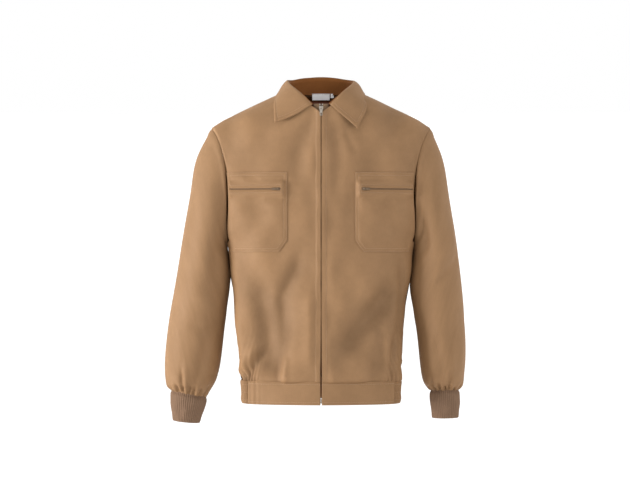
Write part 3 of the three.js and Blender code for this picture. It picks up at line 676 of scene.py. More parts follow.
def material(name):
    """The jacket's materials by name, each made once."""
    if name in _materials:
        return _materials[name]
    c = bpy.context.scene.jacket_colours
    makers = {
        "drill": lambda: drill_cloth("drill", c.drill),
        # the inner face: a darker, redder, duller copy of the drill, as painted shade
        "drill_inside_shaded": lambda: drill_cloth("drill_inside_shaded", c.shaded_inside, 0.6, 1.1, 0.04, 0.12),
        "rib_knit": lambda: rib_knit("rib_knit", c.rib),
        "zip_tape": lambda: narrow_tape("zip_tape", c.tape),
        "neck_tape": lambda: narrow_tape("neck_tape", c.neck_tape, 1.1),
        "label": lambda: narrow_tape("label", c.label, 0.5, 0.92, 1.06),
        "thread": lambda: thread("thread", c.thread),
        "metal": lambda: zip_metal("metal", c.metal),
        "pocket_metal": lambda: zip_metal("pocket_metal", c.pocket_metal),
        "teeth": lambda: zip_plastic("teeth", c.teeth),
        "elastic": lambda: narrow_tape("elastic", c.label, 1.6),
        "floor": lambda: pale_floor("floor", c.floor),
    }
    _materials[name] = makers[name]()
    return _materials[name]


# ---- Settings a user would change ----
def length(name, description, default, low_=0.0, high_=0.1):
    return bpy.props.FloatProperty(
        name=name, description=description, default=default, min=low_, max=high_, unit="LENGTH", precision=5
    )


def tint(name, description, default):
    return bpy.props.FloatVectorProperty(
        name=name, description=description, default=default, size=3, min=0, max=1, subtype="COLOR"
    )


class JacketSizes(bpy.types.PropertyGroup):
    cloth: length("Cloth", "Thickness of the drill at an edge", 1.1 * MM)
    stitch: length("Stitch", "Length of a topstitch", 2.9 * MM)
    thread: length("Thread", "Thickness of the topstitching thread", 0.45 * MM)
    rib: length("Rib", "Width of one rib of the cuffs", 4.6 * MM)
    rib_depth: length("Rib depth", "How far a cuff rib stands out", 1.2 * MM)
    tooth: length("Tooth", "Pitch of the zip teeth", 3.2 * MM)
    folds: bpy.props.FloatProperty(
        name="Folds", description="Strength of the folds in the cloth", default=1.0, min=0, max=2,
        subtype="FACTOR"
    )


class JacketColours(bpy.types.PropertyGroup):
    drill: tint("Drill", "Body and sleeves", (0.226, 0.1235, 0.0545))
    # the inner face's colour is the drill's colour darkened and reddened: painted shade
    shaded_inside: tint("Inside", "The drill's inner face", (0.2, 0.07, 0.016))
    rib: tint("Rib", "Cuffs", (0.165, 0.1, 0.062))
    tape: tint("Zip tape", "Woven zip tapes", (0.2, 0.12, 0.065))
    neck_tape: tint("Neck tape", "Hanger loop", (0.16, 0.045, 0.02))
    label: tint("Label", "Blank neck label and size tab", (0.93, 0.92, 0.92))
    thread: tint("Thread", "Topstitching", (0.36, 0.22, 0.12))
    metal: tint("Zip metal", "Sliders, pulls and stops", (0.42, 0.37, 0.31))
    pocket_metal: tint("Pocket metal", "Sliders and pulls of the pocket zips", (0.17, 0.12, 0.08))
    teeth: tint("Zip teeth", "Zip chains", (0.15, 0.09, 0.05))
    floor: tint("Floor", "Studio floor", (0.93, 0.93, 0.93))


class JacketStage(bpy.types.PropertyGroup):
    distance: bpy.props.FloatProperty(
        name="Camera distance", description="From the side seams to the camera", default=5.0, unit="LENGTH"
    )
    key: bpy.props.FloatProperty(name="Key light", description="Power of the soft light from the left",
                                 default=390.0)
    fill: bpy.props.FloatProperty(name="Fill light", description="Power of the weak light from the right",
                                  default=45.0)
    world: bpy.props.FloatProperty(name="Room", description="Brightness of the white room", default=1.0)


def settings():
    scene = bpy.context.scene
    return scene.jacket_sizes, scene.jacket_colours, scene.jacket_stage


# ---- Operators ----
# the inner face of each cloth piece takes the painted-shade copy of the drill
CLOTH = ["drill", "drill_inside_shaded"]


def panel_grid(face, side, inner, t, rows):
    """Points on one side of the body, x and z: columns from the middle out, rows from the waist up."""
    v = np.linspace(0, 1, rows)[:, None]
    climb = 1 - (1 - v) ** 1.7
    top_x = mix(inner, TIP_X - SEAM_GAP, np.sin(t * math.pi / 2.6) / math.sin(math.pi / 2.6))[None, :]
    z = mix(WAIST_Z - 3 * MM, top_edge_z(face, top_x), climb)
    width = section_width(z)
    outer = np.where(z <= UNDERARM_Z, width, armhole_x(z) - SEAM_GAP)
    turn = np.arcsin(np.clip(outer / width, 0, 1))
    edge = front_edge(z) if face == "front" else inner
    x = mix(edge, outer, np.sin(t[None, :] * turn) / np.sin(turn))
    rounding = np.clip((z - UNDERARM_Z) / (TIP_Z - UNDERARM_Z), 0, 1) ** 2
    x = mix(x, np.minimum(top_x, armhole_x(z) - SEAM_GAP), rounding)
    return side * x, z


def edges(*parts):
    """One rising run of numbers from (start, stop, count) parts."""
    runs = [np.linspace(a, b, n, endpoint=False) for a, b, n in parts]
    return np.concatenate([*runs, [parts[-1][1]]])


def out_of_body(p):
    return (p[0], (p[1] - SEAM_Y) * 1.6, 60 * MM if p[2] > TIP_Z else 0)


def on_body(face, x, z, lift=0.0):
    """A path on the cloth of the body, and the outward directions along it."""
    strength = bpy.context.scene.jacket_sizes.folds
    n = body_normal(face, x, z)
    return body_surface(face, x, z, strength) + n * lift, n


class JACKET_OT_body(bpy.types.Operator):
    """Sews the two fronts, the back and the strips behind the zip"""

    bl_idname = "jacket.body"
    bl_label = "Body"

    def execute(self, context):
        folds = context.scene.jacket_sizes.folds
        t = edges((0, 0.075, 20), (0.075, 0.9, 110), (0.9, 1, 22))
        for word, side in SIDES:
            x, z = panel_grid("front", side, FRONT_GAP, t, 190)
            name = f"{word}_front_panel"
            skin = body_surface("front", x, z, folds)
            # the folds' painted light and shade goes into the cloth colour
            piece = cloth_piece(f"{word}_front", skin, CLOTH, "jacket", out_of_body,
                                painted_shading=painted_fold_shading("front", x, z, folds))
            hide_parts(name)
            self.facing(word, side)
            row_z = np.linspace(WAIST_Z + 2 * MM, float(neckline_z("front", 11 * MM)) - 4 * MM, 400)
            row_x = side * (front_edge(row_z) + 10.2 * MM)
            stitches(f"{word}_front_stitches", [on_body("front", row_x, row_z, 0.1 * MM)], "jacket")
        half = edges((0, 0.9, 110), (0.9, 1, 20))
        rx, rz = panel_grid("back", 1, 0, half, 170)
        x = np.concatenate([-rx[:, :0:-1], rx], axis=1)
        z = np.concatenate([rz[:, :0:-1], rz], axis=1)
        skin = body_surface("back", x, z, folds)
        tucks = [skin]
        for forward, down in ((1.2, 1.9), (7, 2.4)):
            tucks.append(skin[-1:] - np.array([0, forward, down]) * MM)
        skin = np.concatenate(tucks)
        # painted light and shade of the back's folds, for the cloth colour
        painted_shading = painted_fold_shading("back", x, z, folds)
        painted_shading = np.concatenate([painted_shading, painted_shading[-1:], painted_shading[-1:]])
        back = cloth_piece("back", skin, CLOTH, "jacket", out_of_body, painted_shading=painted_shading)
        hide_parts("back_panel")
        return {"FINISHED"}

    def facing(self, word, side):
        """The strip that covers the back of the zip tape."""
        node = f"{word}_front_facing"
        low_x, high_x = sorted((abs(low(node).x), abs(high(node).x)))
        z = np.linspace(low(node).z, high(node).z, 90)[:, None]
        x = side * np.linspace(low_x, high_x, 16)[None, :]
        behind = body_point("front", *np.broadcast_arrays(x, z))
        behind[..., 1] += 8.2 * MM + 0.25 * MM * ripple(x, z, 60 * MM, 21)
        piece = cloth_piece(f"{word}_facing", behind, CLOTH, "jacket", out_of_body)
        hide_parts(node)


class JACKET_OT_waistband(bpy.types.Operator):
    """Sews the waistband, its gathered sides and the elastic in them"""

    bl_idname = "jacket.waistband"
    bl_label = "Waistband"

    def execute(self, context):
        top = WAIST_Z + 0.4 * MM
        z = edges((HEM_Z, HEM_Z + 3 * MM, 6), (HEM_Z + 3 * MM, top - 3 * MM, 16), (top - 3 * MM, top, 5))
        z = z[:, None]
        for word, side in SIDES:
            width = section_width(z)
            turn = np.arcsin(np.clip((ELASTIC_FRONT_X - SEAM_GAP) / width, 0, 1))
            start = np.arcsin(front_edge(z) / width)
            t = np.linspace(0, 1, 120)[None, :]
            x = width * np.sin(mix(start, turn, t))
            self.band(f"{word}_band", "front", side * x, z, f"{word}_waistband")
            self.side(word, side, z)
        t = np.linspace(-1, 1, 220)[None, :]
        width = section_width(z)
        x = width * np.sin(t * np.arcsin((ELASTIC_BACK_X - SEAM_GAP) / width))
        self.band("back_band", "back", x, z, "back_waistband")
        return {"FINISHED"}

    def profile(self, z):
        """How the folded band stands off: full in the middle, turned in at the hem and at the seam."""
        low_edge = np.clip((z - HEM_Z) / (3 * MM), 0, 1)
        top_edge = np.clip((WAIST_Z - z) / (4 * MM), 0, 1)
        return 1.5 * MM * (np.sqrt(1 - (1 - low_edge) ** 2) - 1) + 1.2 * MM * (smooth(top_edge) - 1)

    def lift(self, x, z):
        soft = 0.5 * MM * ripple(x, z * 0.5, 70 * MM, 31)
        waves = np.cos(2 * math.pi * np.abs(x) / (11 * MM))
        draw = 0.8 * MM * waves * smooth((np.abs(x) - 118 * MM) / (30 * MM))
        rows = -0.35 * MM * (bell(z - HEM_Z - 5 * MM, 1.2 * MM) + bell(WAIST_Z - z - 4.4 * MM, 1.2 * MM))
        return soft + draw + rows + self.profile(z)

    def band(self, name, face, x, z, node):
        x, z = np.broadcast_arrays(x, z)
        points = body_point(face, x, z) + body_normal(face, x, z) * self.lift(x, z)[..., None]
        piece = cloth_piece(name, points, CLOTH, "jacket", out_of_body, thick=2.4 * MM)
        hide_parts(node)
        rows = []
        for height in (HEM_Z + 5 * MM, WAIST_Z - 4.4 * MM):
            k = int(np.argmin(np.abs(z[:, 0] - height)))
            n = body_normal(face, x[k], z[k])
            rows.append((points[k] + n * 0.1 * MM, n))
        stitches(f"{name}_stitches", rows, "jacket")

    def side(self, word, side, z):
        """The casing round the side, drawn into deep gathers, and the elastic that draws it."""
        node = f"{word}_side_casing"
        u = edges((-0.03, 0, 6), (0, 1, 260), (1, 1.03, 6))[None, :]
        points, normal = self.round_side(side, u, z)
        arc = u * np.linalg.norm(np.diff(points[5], axis=0), axis=1).sum()
        run = arc + 1.2 * MM * ripple(arc, z, 50 * MM, 33)
        pleat = np.abs(np.cos(math.pi * run / (6.2 * MM))) ** 0.8
        inside = np.clip((z - HEM_Z) / (4 * MM), 0, 1) * 0.35 + 0.65
        lift = 2.3 * MM * (pleat * inside - 0.62) + 0.5 * MM * ripple(arc, z, 24 * MM, 34) + self.profile(z)
        beyond = np.maximum(-u, u - 1)
        lift = lift - 4.0 * MM * smooth((beyond + 0.006) / 0.009)
        # painted shade in the hollows of the gathers, painted light on their crests
        painted_shading = 0.16 * (pleat - 0.6) + 0 * z
        skin = points + normal * lift[..., None]
        casing = cloth_piece(f"{word}_casing", skin, CLOTH, "jacket", out_of_body, painted_shading=painted_shading)
        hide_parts(node)
        rows = [(skin[k] + normal[k] * 0.1 * MM, normal[k]) for k in (8, 14, 20)]
        stitches(f"{word}_casing_stitches", rows, "jacket")
        back_z = np.linspace(HEM_Z, WAIST_Z - SEAM_GAP, 8)[:, None]
        points, normal = self.round_side(side, np.linspace(0, 1, 120)[None, :], back_z)
        behind = points - normal * (6.4 * MM + 0.5 * MM * np.cos(np.linspace(0, 200, 120))[None, :, None])
        # the facing behind the casing is all in the painted-shade inner colour
        facing = cloth_piece(f"{word}_casing_inside", behind, ["drill_inside_shaded"], "jacket", out_of_body)
        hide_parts(node)
        strip_z = np.linspace(low(f"{word}_elastic_band").z, high(f"{word}_elastic_band").z, 14)[:, None]
        points, normal = self.round_side(side, np.linspace(0.015, 0.985, 160)[None, :], strip_z)
        strip = points - normal * (3.6 * MM + 0.2 * MM * np.cos(strip_z * 2600)[..., None])
        elastic = cloth_piece(f"{word}_elastic", strip, ["elastic"], "jacket", out_of_body, thick=1.4 * MM)
        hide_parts(f"{word}_elastic_band")

    def round_side(self, side, u, z):
        width = section_width(z)
        front = np.arcsin(ELASTIC_FRONT_X / width)
        back = math.pi - np.arcsin(ELASTIC_BACK_X / width)
        angle = mix(front, back, u)
        x = width * np.sin(angle)
        before = angle < math.pi / 2
        y = np.where(before, -body_depth("front", x, z) - SEAM_GAP / 2,
                     body_depth("back", x, z) + SEAM_GAP / 2)
        points = np.stack([side * x, SEAM_Y + y, z + 0 * x], axis=-1)
        normal = grid_normals(points)
        flip = np.sign((normal * (points - [0, SEAM_Y, 0])).sum(axis=-1, keepdims=True))
        return points, normal * flip


SLEEVES = {
    "right": {
        "outer": [(64, -0.71), (80, -0.36), (96, 0.03), (112, 0.34), (124, 0.57), (133, 0.82), (130, 0.925),
                  (120, 0.975)],
        "inner": [(0, 0.03), (-3, 0.09), (-6, 0.21), (-6, 0.34), (3, 0.56), (16, 0.82), (26, 0.927),
                  (42, 1.02)],
        "end": [(115, 54), (58, 60), 32],
    },
    "left": {
        "outer": [(58, -0.71), (74, -0.36), (89, 0.03), (99, 0.34), (104, 0.57), (106, 0.82), (102, 0.925),
                  (94, 0.97)],
        "inner": [(-1, 0.03), (-3, 0.09), (-6, 0.21), (-10, 0.34), (0, 0.56), (11, 0.82), (18, 0.92),
                  (31, 0.975)],
        "end": [(92, 48), (36, 49), 31],
    },
}
SLEEVE_DEPTHS = [75, 78, 76, 74, 70, 66, 62, 54, 37]
CUFF_SEAM_Z = DATUM_Z - 650 * MM
ARMHOLE_X = CHEST_HALF + 3.5 * MM
TIP_EASE = 2.4 * MM
# Folds of each sleeve: round it in degrees from the shoulder line by the front, and down it in shares.
SLEEVE_FOLDS = {
    "right": (
        ([(150, 0.16), (120, 0.3), (128, 0.5)], 20, -4.5),
        ([(60, 0.46), (96, 0.52), (150, 0.56)], 14, 3.0),
        ([(70, 0.6), (104, 0.63), (150, 0.62)], 10, -2.6),
        ([(120, 0.62), (112, 0.78), (100, 0.93)], 12, -3.5),
        ([(76, 0.72), (80, 0.84), (76, 0.95)], 9, 3.0),
        ([(250, 0.45), (220, 0.52), (180, 0.56)], 14, -3.5),
        ([(300, 0.62), (280, 0.76), (286, 0.94)], 12, -3.0),
    ),
    "left": (
        ([(128, 0.1), (112, 0.2), (118, 0.34)], 16, -6.5),
        ([(60, 0.1), (70, 0.26), (64, 0.4)], 24, 3.0),
        ([(20, 0.33), (60, 0.36), (104, 0.41)], 13, 3.4),
        ([(14, 0.4), (60, 0.42), (100, 0.48)], 8, -4.0),
        ([(40, 0.56), (76, 0.6), (110, 0.66)], 14, 3.0),
        ([(112, 0.62), (98, 0.78), (104, 0.93)], 12, -4.5),
        ([(66, 0.68), (74, 0.82), (70, 0.95)], 10, 3.5),
        ([(250, 0.45), (220, 0.52), (180, 0.56)], 14, -3.5),
        ([(300, 0.62), (280, 0.76), (286, 0.94)], 12, -3.0),
    ),
}


# The deep gathers at each cuff: degrees round, the share where each starts, and its depth.
GATHERS = {
    "right": ((30, 0.86, 4), (62, 0.86, 5), (76, 0.72, 6), (94, 0.86, 5), (106, 0.88, 5), (128, 0.9, 4),
              (152, 0.86, 5),
              (200, 0.86, 5), (228, 0.8, 5), (262, 0.86, 5), (300, 0.82, 5), (334, 0.86, 4)),
    "left": ((34, 0.86, 5), (56, 0.9, 4), (77, 0.74, 6), (90, 0.88, 5), (113, 0.86, 6), (136, 0.82, 6),
             (158, 0.9, 4),
             (196, 0.86, 5), (230, 0.8, 5), (262, 0.88, 5), (296, 0.82, 5), (330, 0.86, 4)),
}


def sleeve_height(down):
    """Height of a station: -1 is the shoulder tip, 0 the underarm and 1 the cuff seam."""
    return np.where(down < 0, mix(UNDERARM_Z, TIP_Z, -down), mix(UNDERARM_Z, CUFF_SEAM_Z, down))


def sleeve_edges(word, share):
    """The sleeve's outer and inner edges (x and z) and its depth at each share of its length."""
    made = []
    starts = {"outer": (TIP_X + SEAM_GAP + TIP_EASE, TIP_Z), "inner": (ARMHOLE_X, UNDERARM_Z)}
    for edge in ("outer", "inner"):
        stations = np.array(SLEEVES[word][edge], float)
        x = ARMHOLE_X + stations[:, 0] * MM
        z = sleeve_height(stations[:, 1])
        made.append(spline(np.vstack([starts[edge], np.stack([x, z], axis=1)]), share))
    depth = spline(SLEEVE_DEPTHS, share)[..., 0] * MM
    return made[0], made[1], depth


def sleeve_ring(outer, inner, depth, angle):
    middle, half = (outer + inner) / 2, (outer - inner) / 2
    x = middle[..., 0] + half[..., 0] * np.cos(angle)
    z = middle[..., 1] + half[..., 1] * np.cos(angle)
    return np.stack([x, SEAM_Y - depth * np.sin(angle), z], axis=-1)


def armhole_point(angle):
    z = (TIP_Z + UNDERARM_Z) / 2 + (TIP_Z - UNDERARM_Z) / 2 * np.cos(angle)
    x = armhole_x(z)
    y = np.where(np.sin(angle) >= 0, -body_depth("front", x, z), body_depth("back", x, z))
    return np.stack([x - 1.5 * MM + 0 * angle, SEAM_Y + y, z - tip_drop(x, z)], axis=-1)


def sleeve_surface(word, share, angle):
    """The smooth sleeve, on the +X side."""
    share, angle = np.broadcast_arrays(share, angle)
    outer, inner, depth = sleeve_edges(word, share)
    ring = sleeve_ring(outer, inner, depth, angle)
    first = sleeve_ring(*sleeve_edges(word, 0 * share), angle)
    seam = np.clip(1 - share / 0.4, 0, 1) ** 2
    return ring + (armhole_point(angle) - first) * seam[..., None]


def mirrored(points, side):
    return points * np.array([side, 1, 1])


class JACKET_OT_sleeves(bpy.types.Operator):
    """Sews the sleeves, gathered into their cuffs"""

    bl_idname = "jacket.sleeves"
    bl_label = "Sleeves"

    def execute(self, context):
        for word, side in SIDES:
            self.sleeve(word, side, context.scene.jacket_sizes.folds)
        return {"FINISHED"}

    def sleeve(self, word, side, strength):
        share = edges((0, 0.04, 8), (0.04, 0.86, 120), (0.86, 1, 44))[:, None]
        angle = np.linspace(0, 2 * math.pi, 200, endpoint=False)[None, :]
        smooth_skin = sleeve_surface(word, share, angle)
        centre = smooth_skin.mean(axis=1, keepdims=True)
        normal = grid_normals(smooth_skin, ring=True)
        normal *= np.sign((normal * (smooth_skin - centre)).sum(axis=-1, keepdims=True))
        close = bell(smooth_skin[..., 2] - DATUM_Z + 392 * MM, 44 * MM) * smooth(-0.5 - 1.4 * np.cos(angle))
        shoulder = bell(share - 0.13, 0.09) * np.clip(np.cos(angle), 0, 1) ** 2
        eased = (4.4 * close + 3.4 * shoulder) * MM
        skin = smooth_skin + normal * (eased + self.relief(word, share, angle, strength))[..., None]
        axis = mirrored(centre[:, 0], side)

        def outward(p):
            here = axis[int(np.argmin(np.linalg.norm(axis - np.array(p), axis=1)))]
            return tuple(np.array(p) - here)

        piece = cloth_piece(f"{word}_arm_cloth", mirrored(skin, side), CLOTH, None, outward, ring=True)
        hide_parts(f"{word}_sleeve")
        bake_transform(piece)

    def relief(self, word, share, angle, strength):
        turn = np.degrees(angle)
        out = np.zeros(np.broadcast(share, angle).shape)
        around = (turn + 0 * share) * MM
        down = DATUM_Z - 500 * MM * (share + 0 * turn)
        for line, width, height in SLEEVE_FOLDS[word]:
            path = [(a, 500 * s) for a, s in line]
            out = out + fold(around, down, path, width, height)
        seed = 41 if word == "right" else 43
        for k, size in ((1, 2.2), (2, 1.2), (3, 0.7)):
            phase = np.interp(share, np.linspace(0, 1, 6),
                              np.random.default_rng(seed + k).uniform(-1.4, 1.4, 6))
            out = out + size * MM * np.sin(k * angle + phase * 2) * smooth(share / 0.3) * 0.5
        # fine soft gathers that grow towards the cuff seam
        near = smooth((share - 0.84) / 0.16)
        swing = 1.1 * np.sin(3 * angle + 9 * share) + 0.6 * np.sin(5 * angle - 4 * share)
        pleat = np.abs(np.cos(8.5 * angle + 1.6 * swing)) ** 1.2 - 0.5
        out = out + (3.4 * MM * near * (1 - 0.3 * near)) * pleat
        for turn_at, start, depth in GATHERS[word]:
            path = [(turn_at - 5, 500 * start), (turn_at, 470), (turn_at, 540)]
            out = out + fold(around, down, path, 5.5, -depth, 0.0, 0.3)
        out = out * strength
        # an eased seam at the armhole
        crease = smooth(-1.6 * np.cos(angle)) * smooth(3 * np.sin(angle))
        out = out * smooth(share / 0.06) + 1.2 * MM * bell(share - 0.02, 0.012) * (1 - crease)
        out = out - (1.6 + 2.4 * crease) * MM * bell(share, 0.006 + 0.012 * crease)
        return out * (1 - 0.7 * smooth((share - 0.985) / 0.015)) - 1.3 * MM * smooth((share - 0.975) / 0.025)


class JACKET_OT_cuffs(bpy.types.Operator):
    """Knits the two ribbed cuffs, each a doubled tube"""

    bl_idname = "jacket.cuffs"
    bl_label = "Cuffs"

    def execute(self, context):
        sizes = context.scene.jacket_sizes
        for word, side in SIDES:
            self.cuff(word, side, sizes.rib, sizes.rib_depth)
        return {"FINISHED"}

    def cuff(self, word, side, rib, rib_depth):
        outer, inner, depth = sleeve_edges(word, np.array(1.0))
        drop = np.array([0, -2 * SEAM_GAP])
        (ox, oz), (ix, iz), end_depth = SLEEVES[word]["end"]
        low_outer = np.array([ARMHOLE_X + ox * MM, CUFF_SEAM_Z - oz * MM])
        low_inner = np.array([ARMHOLE_X + ix * MM, CUFF_SEAM_Z - iz * MM])
        round_half = sleeve_ring(outer, inner, depth, np.linspace(0, 2 * math.pi, 400))
        girth = np.linalg.norm(np.diff(round_half, axis=0), axis=1).sum()
        ribs = int(girth / rib)
        angle = np.linspace(0, 2 * math.pi, ribs * 7, endpoint=False)[None, :]
        # down the outside, round the folded edge, and up inside
        turn = np.linspace(0, math.pi, 9)[1:-1]
        wall = 1.5 * MM
        length = 56 * MM
        down = np.concatenate([np.linspace(-0.07, 1, 34), 1 + wall / length * np.sin(turn),
                               np.linspace(1, 0.04, 24)])
        sink = np.concatenate([np.zeros(34), wall * (1 - np.cos(turn)), np.full(24, 2 * wall)])
        down, sink = down[:, None], sink[:, None]
        share = np.clip(down, -0.07, 1.06)
        o = mix((outer + drop)[None, None], low_outer[None, None], share[..., None])
        i = mix((inner + drop)[None, None], low_inner[None, None], share[..., None])
        d = mix(depth, end_depth * MM, share)
        base = sleeve_ring(o + 0 * angle[..., None], i + 0 * angle[..., None], d + 0 * angle,
                           angle + 0 * share)
        centre = base.mean(axis=1, keepdims=True)
        radial = base - centre
        axis = (centre[33, 0] - centre[0, 0]) / np.linalg.norm(centre[33, 0] - centre[0, 0])
        radial = radial - (radial @ axis)[..., None] * axis
        radial = radial / np.linalg.norm(radial, axis=-1, keepdims=True)
        wave = np.abs(np.cos(0.5 * ribs * angle)) ** 0.7
        belly = 2.2 * MM * np.sin(math.pi * np.clip(down, 0, 1) ** 0.8) - 1.9 * MM * bell(down + 0.04, 0.06)
        inside = np.where(sink >= 2 * wall, -1, 1)
        uneven = 0.5 * MM * ripple(angle * 38 * MM, down * length, 26 * MM, 51)
        lift = belly - sink + inside * rib_depth * (wave - 1) + uneven
        points = base + radial * lift[..., None]
        # painted shade between the ribs, painted light on the rib crests
        painted_shading = 0.55 * (wave - 0.75) + 0 * down
        centre_line = mirrored(centre[:, 0], side)

        def outward(p):
            here = centre_line[int(np.argmin(np.abs(centre_line[:34, 2] - p[2])))]
            return tuple(np.array(p) - here)

        obj = cloth_piece(f"{word}_rib_cuff", mirrored(points, side), ["rib_knit"], f"{word}_arm", None,
                          ring=True,
                          thick=0.7 * MM, painted_shading=painted_shading)
        first = obj.data.polygons[ribs * 7 * 4].center
        if obj.data.polygons[ribs * 7 * 4].normal.dot(Vector(outward(first))) < 0:
            obj.data.flip_normals()
        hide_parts(f"{word}_cuff")


# Collar curves in millimetres from the back neck seam: out, towards the back, up.
ROLL_LINE = [(18, -104, -33), (43, -91, -8), (61, -57, 9), (69, -10, 22), (60, 30, 27), (34, 50, 33),
             (0, 56, 36)]
STAND_FOOT = [(21, -97, -34), (38, -88, -20), (59, -60, -4), (70, -8, 1), (58, 28, 1), (33, 46, 0),
              (0, 50, 0)]
LEAF_BACK = [(90, 0, -5), (83, 37, -11), (57, 71, -23), (0, 91, -35)]
LEAF_FRONT = {
    "right": [(98, -104, -72), (99, -77, -38), (95, -38, -15)],
    "left": [(76, -112, -84), (93, -91, -48), (93, -55, -22)],
}
LEAF_BELLY = {"right": -6, "left": -1, "back": 3}


def in_frame(points):
    return np.array(points, float) * MM + np.array([0, SEAM_Y, DATUM_Z])


def round_neck(right, left):
    """A curve from the right centre front round the back of the neck to the left centre front."""
    first = [(-x, y, z) for x, y, z in right[:-1]]
    return in_frame(first + [left[-1]] + list(reversed(left[:-1])))


class JACKET_OT_collar(bpy.types.Operator):
    """Sews the collar's stand and its folded-down leaf"""

    bl_idname = "jacket.collar"
    bl_label = "Collar"

    def execute(self, context):
        strength = context.scene.jacket_sizes.folds
        u = edges((0, 0.02, 6), (0.02, 0.98, 260), (0.98, 1, 6))
        roll = spline(round_neck(ROLL_LINE, ROLL_LINE), u)
        foot = spline(round_neck(STAND_FOOT, STAND_FOOT), u)
        rim = spline(round_neck(LEAF_FRONT["right"] + LEAF_BACK, LEAF_FRONT["left"] + LEAF_BACK), u)
        self.leaf(u, roll, rim, strength)
        self.stand(u, roll, foot)
        return {"FINISHED"}

    def leaf(self, u, roll, rim, strength):
        """The leaf rolls over softly at the top and stands a little off the shoulders."""
        v = edges((0, 0.1, 8), (0.1, 0.94, 44), (0.94, 1, 6))[:, None, None]
        points = roll[None] + (rim - roll)[None] * v
        front = np.where(u < 0.5, LEAF_BELLY["right"], LEAF_BELLY["left"])
        belly = mix(front, LEAF_BELLY["back"], np.clip(np.minimum(u, 1 - u) / 0.08, 0, 1))
        points[..., 2] += MM * belly[None, :] * np.sin(math.pi * v[..., 0])
        normal = grid_normals(points)
        normal *= np.where(normal[..., 2:] < 0, -1, 1)
        v, uu = v[..., 0], u[None, :]
        height = 2.7 * MM + 1.2 * MM * np.sin(math.pi * np.clip(v, 0, 1)) ** 0.5 - 1.6 * MM * bell(v, 0.05)
        height = height + 0.8 * MM * ripple(uu * 520 * MM, v * 70 * MM, 110 * MM, 61) * strength
        height = height - 0.35 * MM * bell(v - 0.9, 0.018) + 0.5 * MM * smooth((v - 0.9) / 0.05)
        height = height - 1.1 * MM * (bell(v - 1, 0.02))
        ends = np.minimum(uu, 1 - uu)
        height = height - 1.1 * MM * bell(ends, 0.003)
        skin = points + normal * height[..., None]
        leaf = cloth_piece("collar", skin, ["drill", "drill"], "jacket", None, thick=2.0 * MM)
        self.face_up(leaf)
        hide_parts("collar_leaf")
        rows = []
        k = int(np.argmin(np.abs(v[:, 0] - 0.9)))
        inside = (u > 0.016) & (u < 0.984)
        rows.append((skin[k][inside] + normal[k][inside] * 0.1 * MM, normal[k][inside]))
        for end in (0.016, 0.984):
            c = int(np.argmin(np.abs(u - end)))
            part = slice(7, k + 1)
            rows.append((skin[part, c] + normal[part, c] * 0.1 * MM, normal[part, c]))
        stitches("collar_stitches", rows, "jacket")

    def face_up(self, obj):
        ups = sum(p.normal.z * p.area for p in obj.data.polygons)
        if ups < 0:
            obj.data.flip_normals()

    def stand(self, u, roll, foot):
        v = np.linspace(-0.14, 1, 38)[:, None, None]
        points = foot[None] + (roll - foot)[None] * v
        normal = grid_normals(points)
        centre = in_frame([0, -15, -40])
        normal *= np.sign((normal * (points - centre) * [1, 1, 0.3]).sum(axis=-1, keepdims=True))
        # the fold at the top leans out into the leaf
        lean = 2.6 * MM * smooth((v - 0.72) / 0.28) - 1.4 * MM
        wave = 0.5 * MM * ripple(u[None, :] * 480 * MM, v[..., 0] * 40 * MM, 60 * MM, 63)[..., None]
        skin = points + normal * (lean + wave)

        def outward(p):
            return (p[0] - centre[0], p[1] - centre[1], 0)

        # its inner face takes the painted-shade inner colour
        stand = cloth_piece("collar_inside", skin, ["drill", "drill_inside_shaded"], "jacket", outward,
                            thick=1.6 * MM)
        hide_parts("collar_stand")


class JACKET_OT_neck(bpy.types.Operator):
    """Sews in the blank label, the size tab and the hanger loop"""

    bl_idname = "jacket.neck"
    bl_label = "Neck"

    def execute(self, context):
        for node, finish, bow in (("neck_label", "label", 0.5), ("size_tab", "label", 0.2)):
            a, b = low(node), high(node)
            x = np.linspace(a.x, b.x, 40)[None, :]
            z = np.linspace(a.z, b.z, 20)[:, None]
            curl = bow * MM * np.sin(math.pi * (x - a.x) / (b.x - a.x)) + 0.12 * MM * ripple(x, z, 12 * MM,
                                                                                             71)
            points = np.stack([x + 0 * z, a.y - curl + 0 * z, z + 0 * x], axis=-1)
            piece = cloth_piece(f"{node}_cloth", points, [finish], "jacket", lambda p: (0, -1, 0),
                                thick=0.4 * MM)
            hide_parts(node)
            if node == "neck_label":
                edge = 1.3 * MM
                out = np.array([[0, -1.0, 0]] * 60)
                row_x = np.linspace(a.x + edge, b.x - edge, 60)
                bend = bow * MM * np.sin(math.pi * (row_x - a.x) / (b.x - a.x))
                sewn = np.stack([row_x, a.y - bend - 0.15 * MM, np.full(60, b.z - edge)], axis=1)
                stitches("label_stitches", [(sewn, out)], "jacket")
        self.loop()
        return {"FINISHED"}

    def loop(self):
        """A flat tape that stands off the back between its two sewn ends."""
        a, b = low("hanger_loop"), high("hanger_loop")
        t = np.linspace(-1, 1, 90)[None, :]
        w = np.linspace(0, 1, 12)[:, None]
        x = t * b.x
        away = 1 - smooth((np.abs(t) - 0.82) / 0.16)
        y = b.y - (b.y - a.y) * away + 0 * w
        z = mix(a.z, b.z, w) + 0.7 * MM * np.cos(t * 3) * away - 0.5 * MM
        y = y - 0.25 * MM * np.sin(math.pi * w)
        points = np.stack([x + 0 * w, y, z], axis=-1)
        piece = cloth_piece("loop_tape", points, ["neck_tape"], "jacket", lambda p: (0, -1, 0),
                            thick=0.9 * MM)
        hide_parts("hanger_loop")


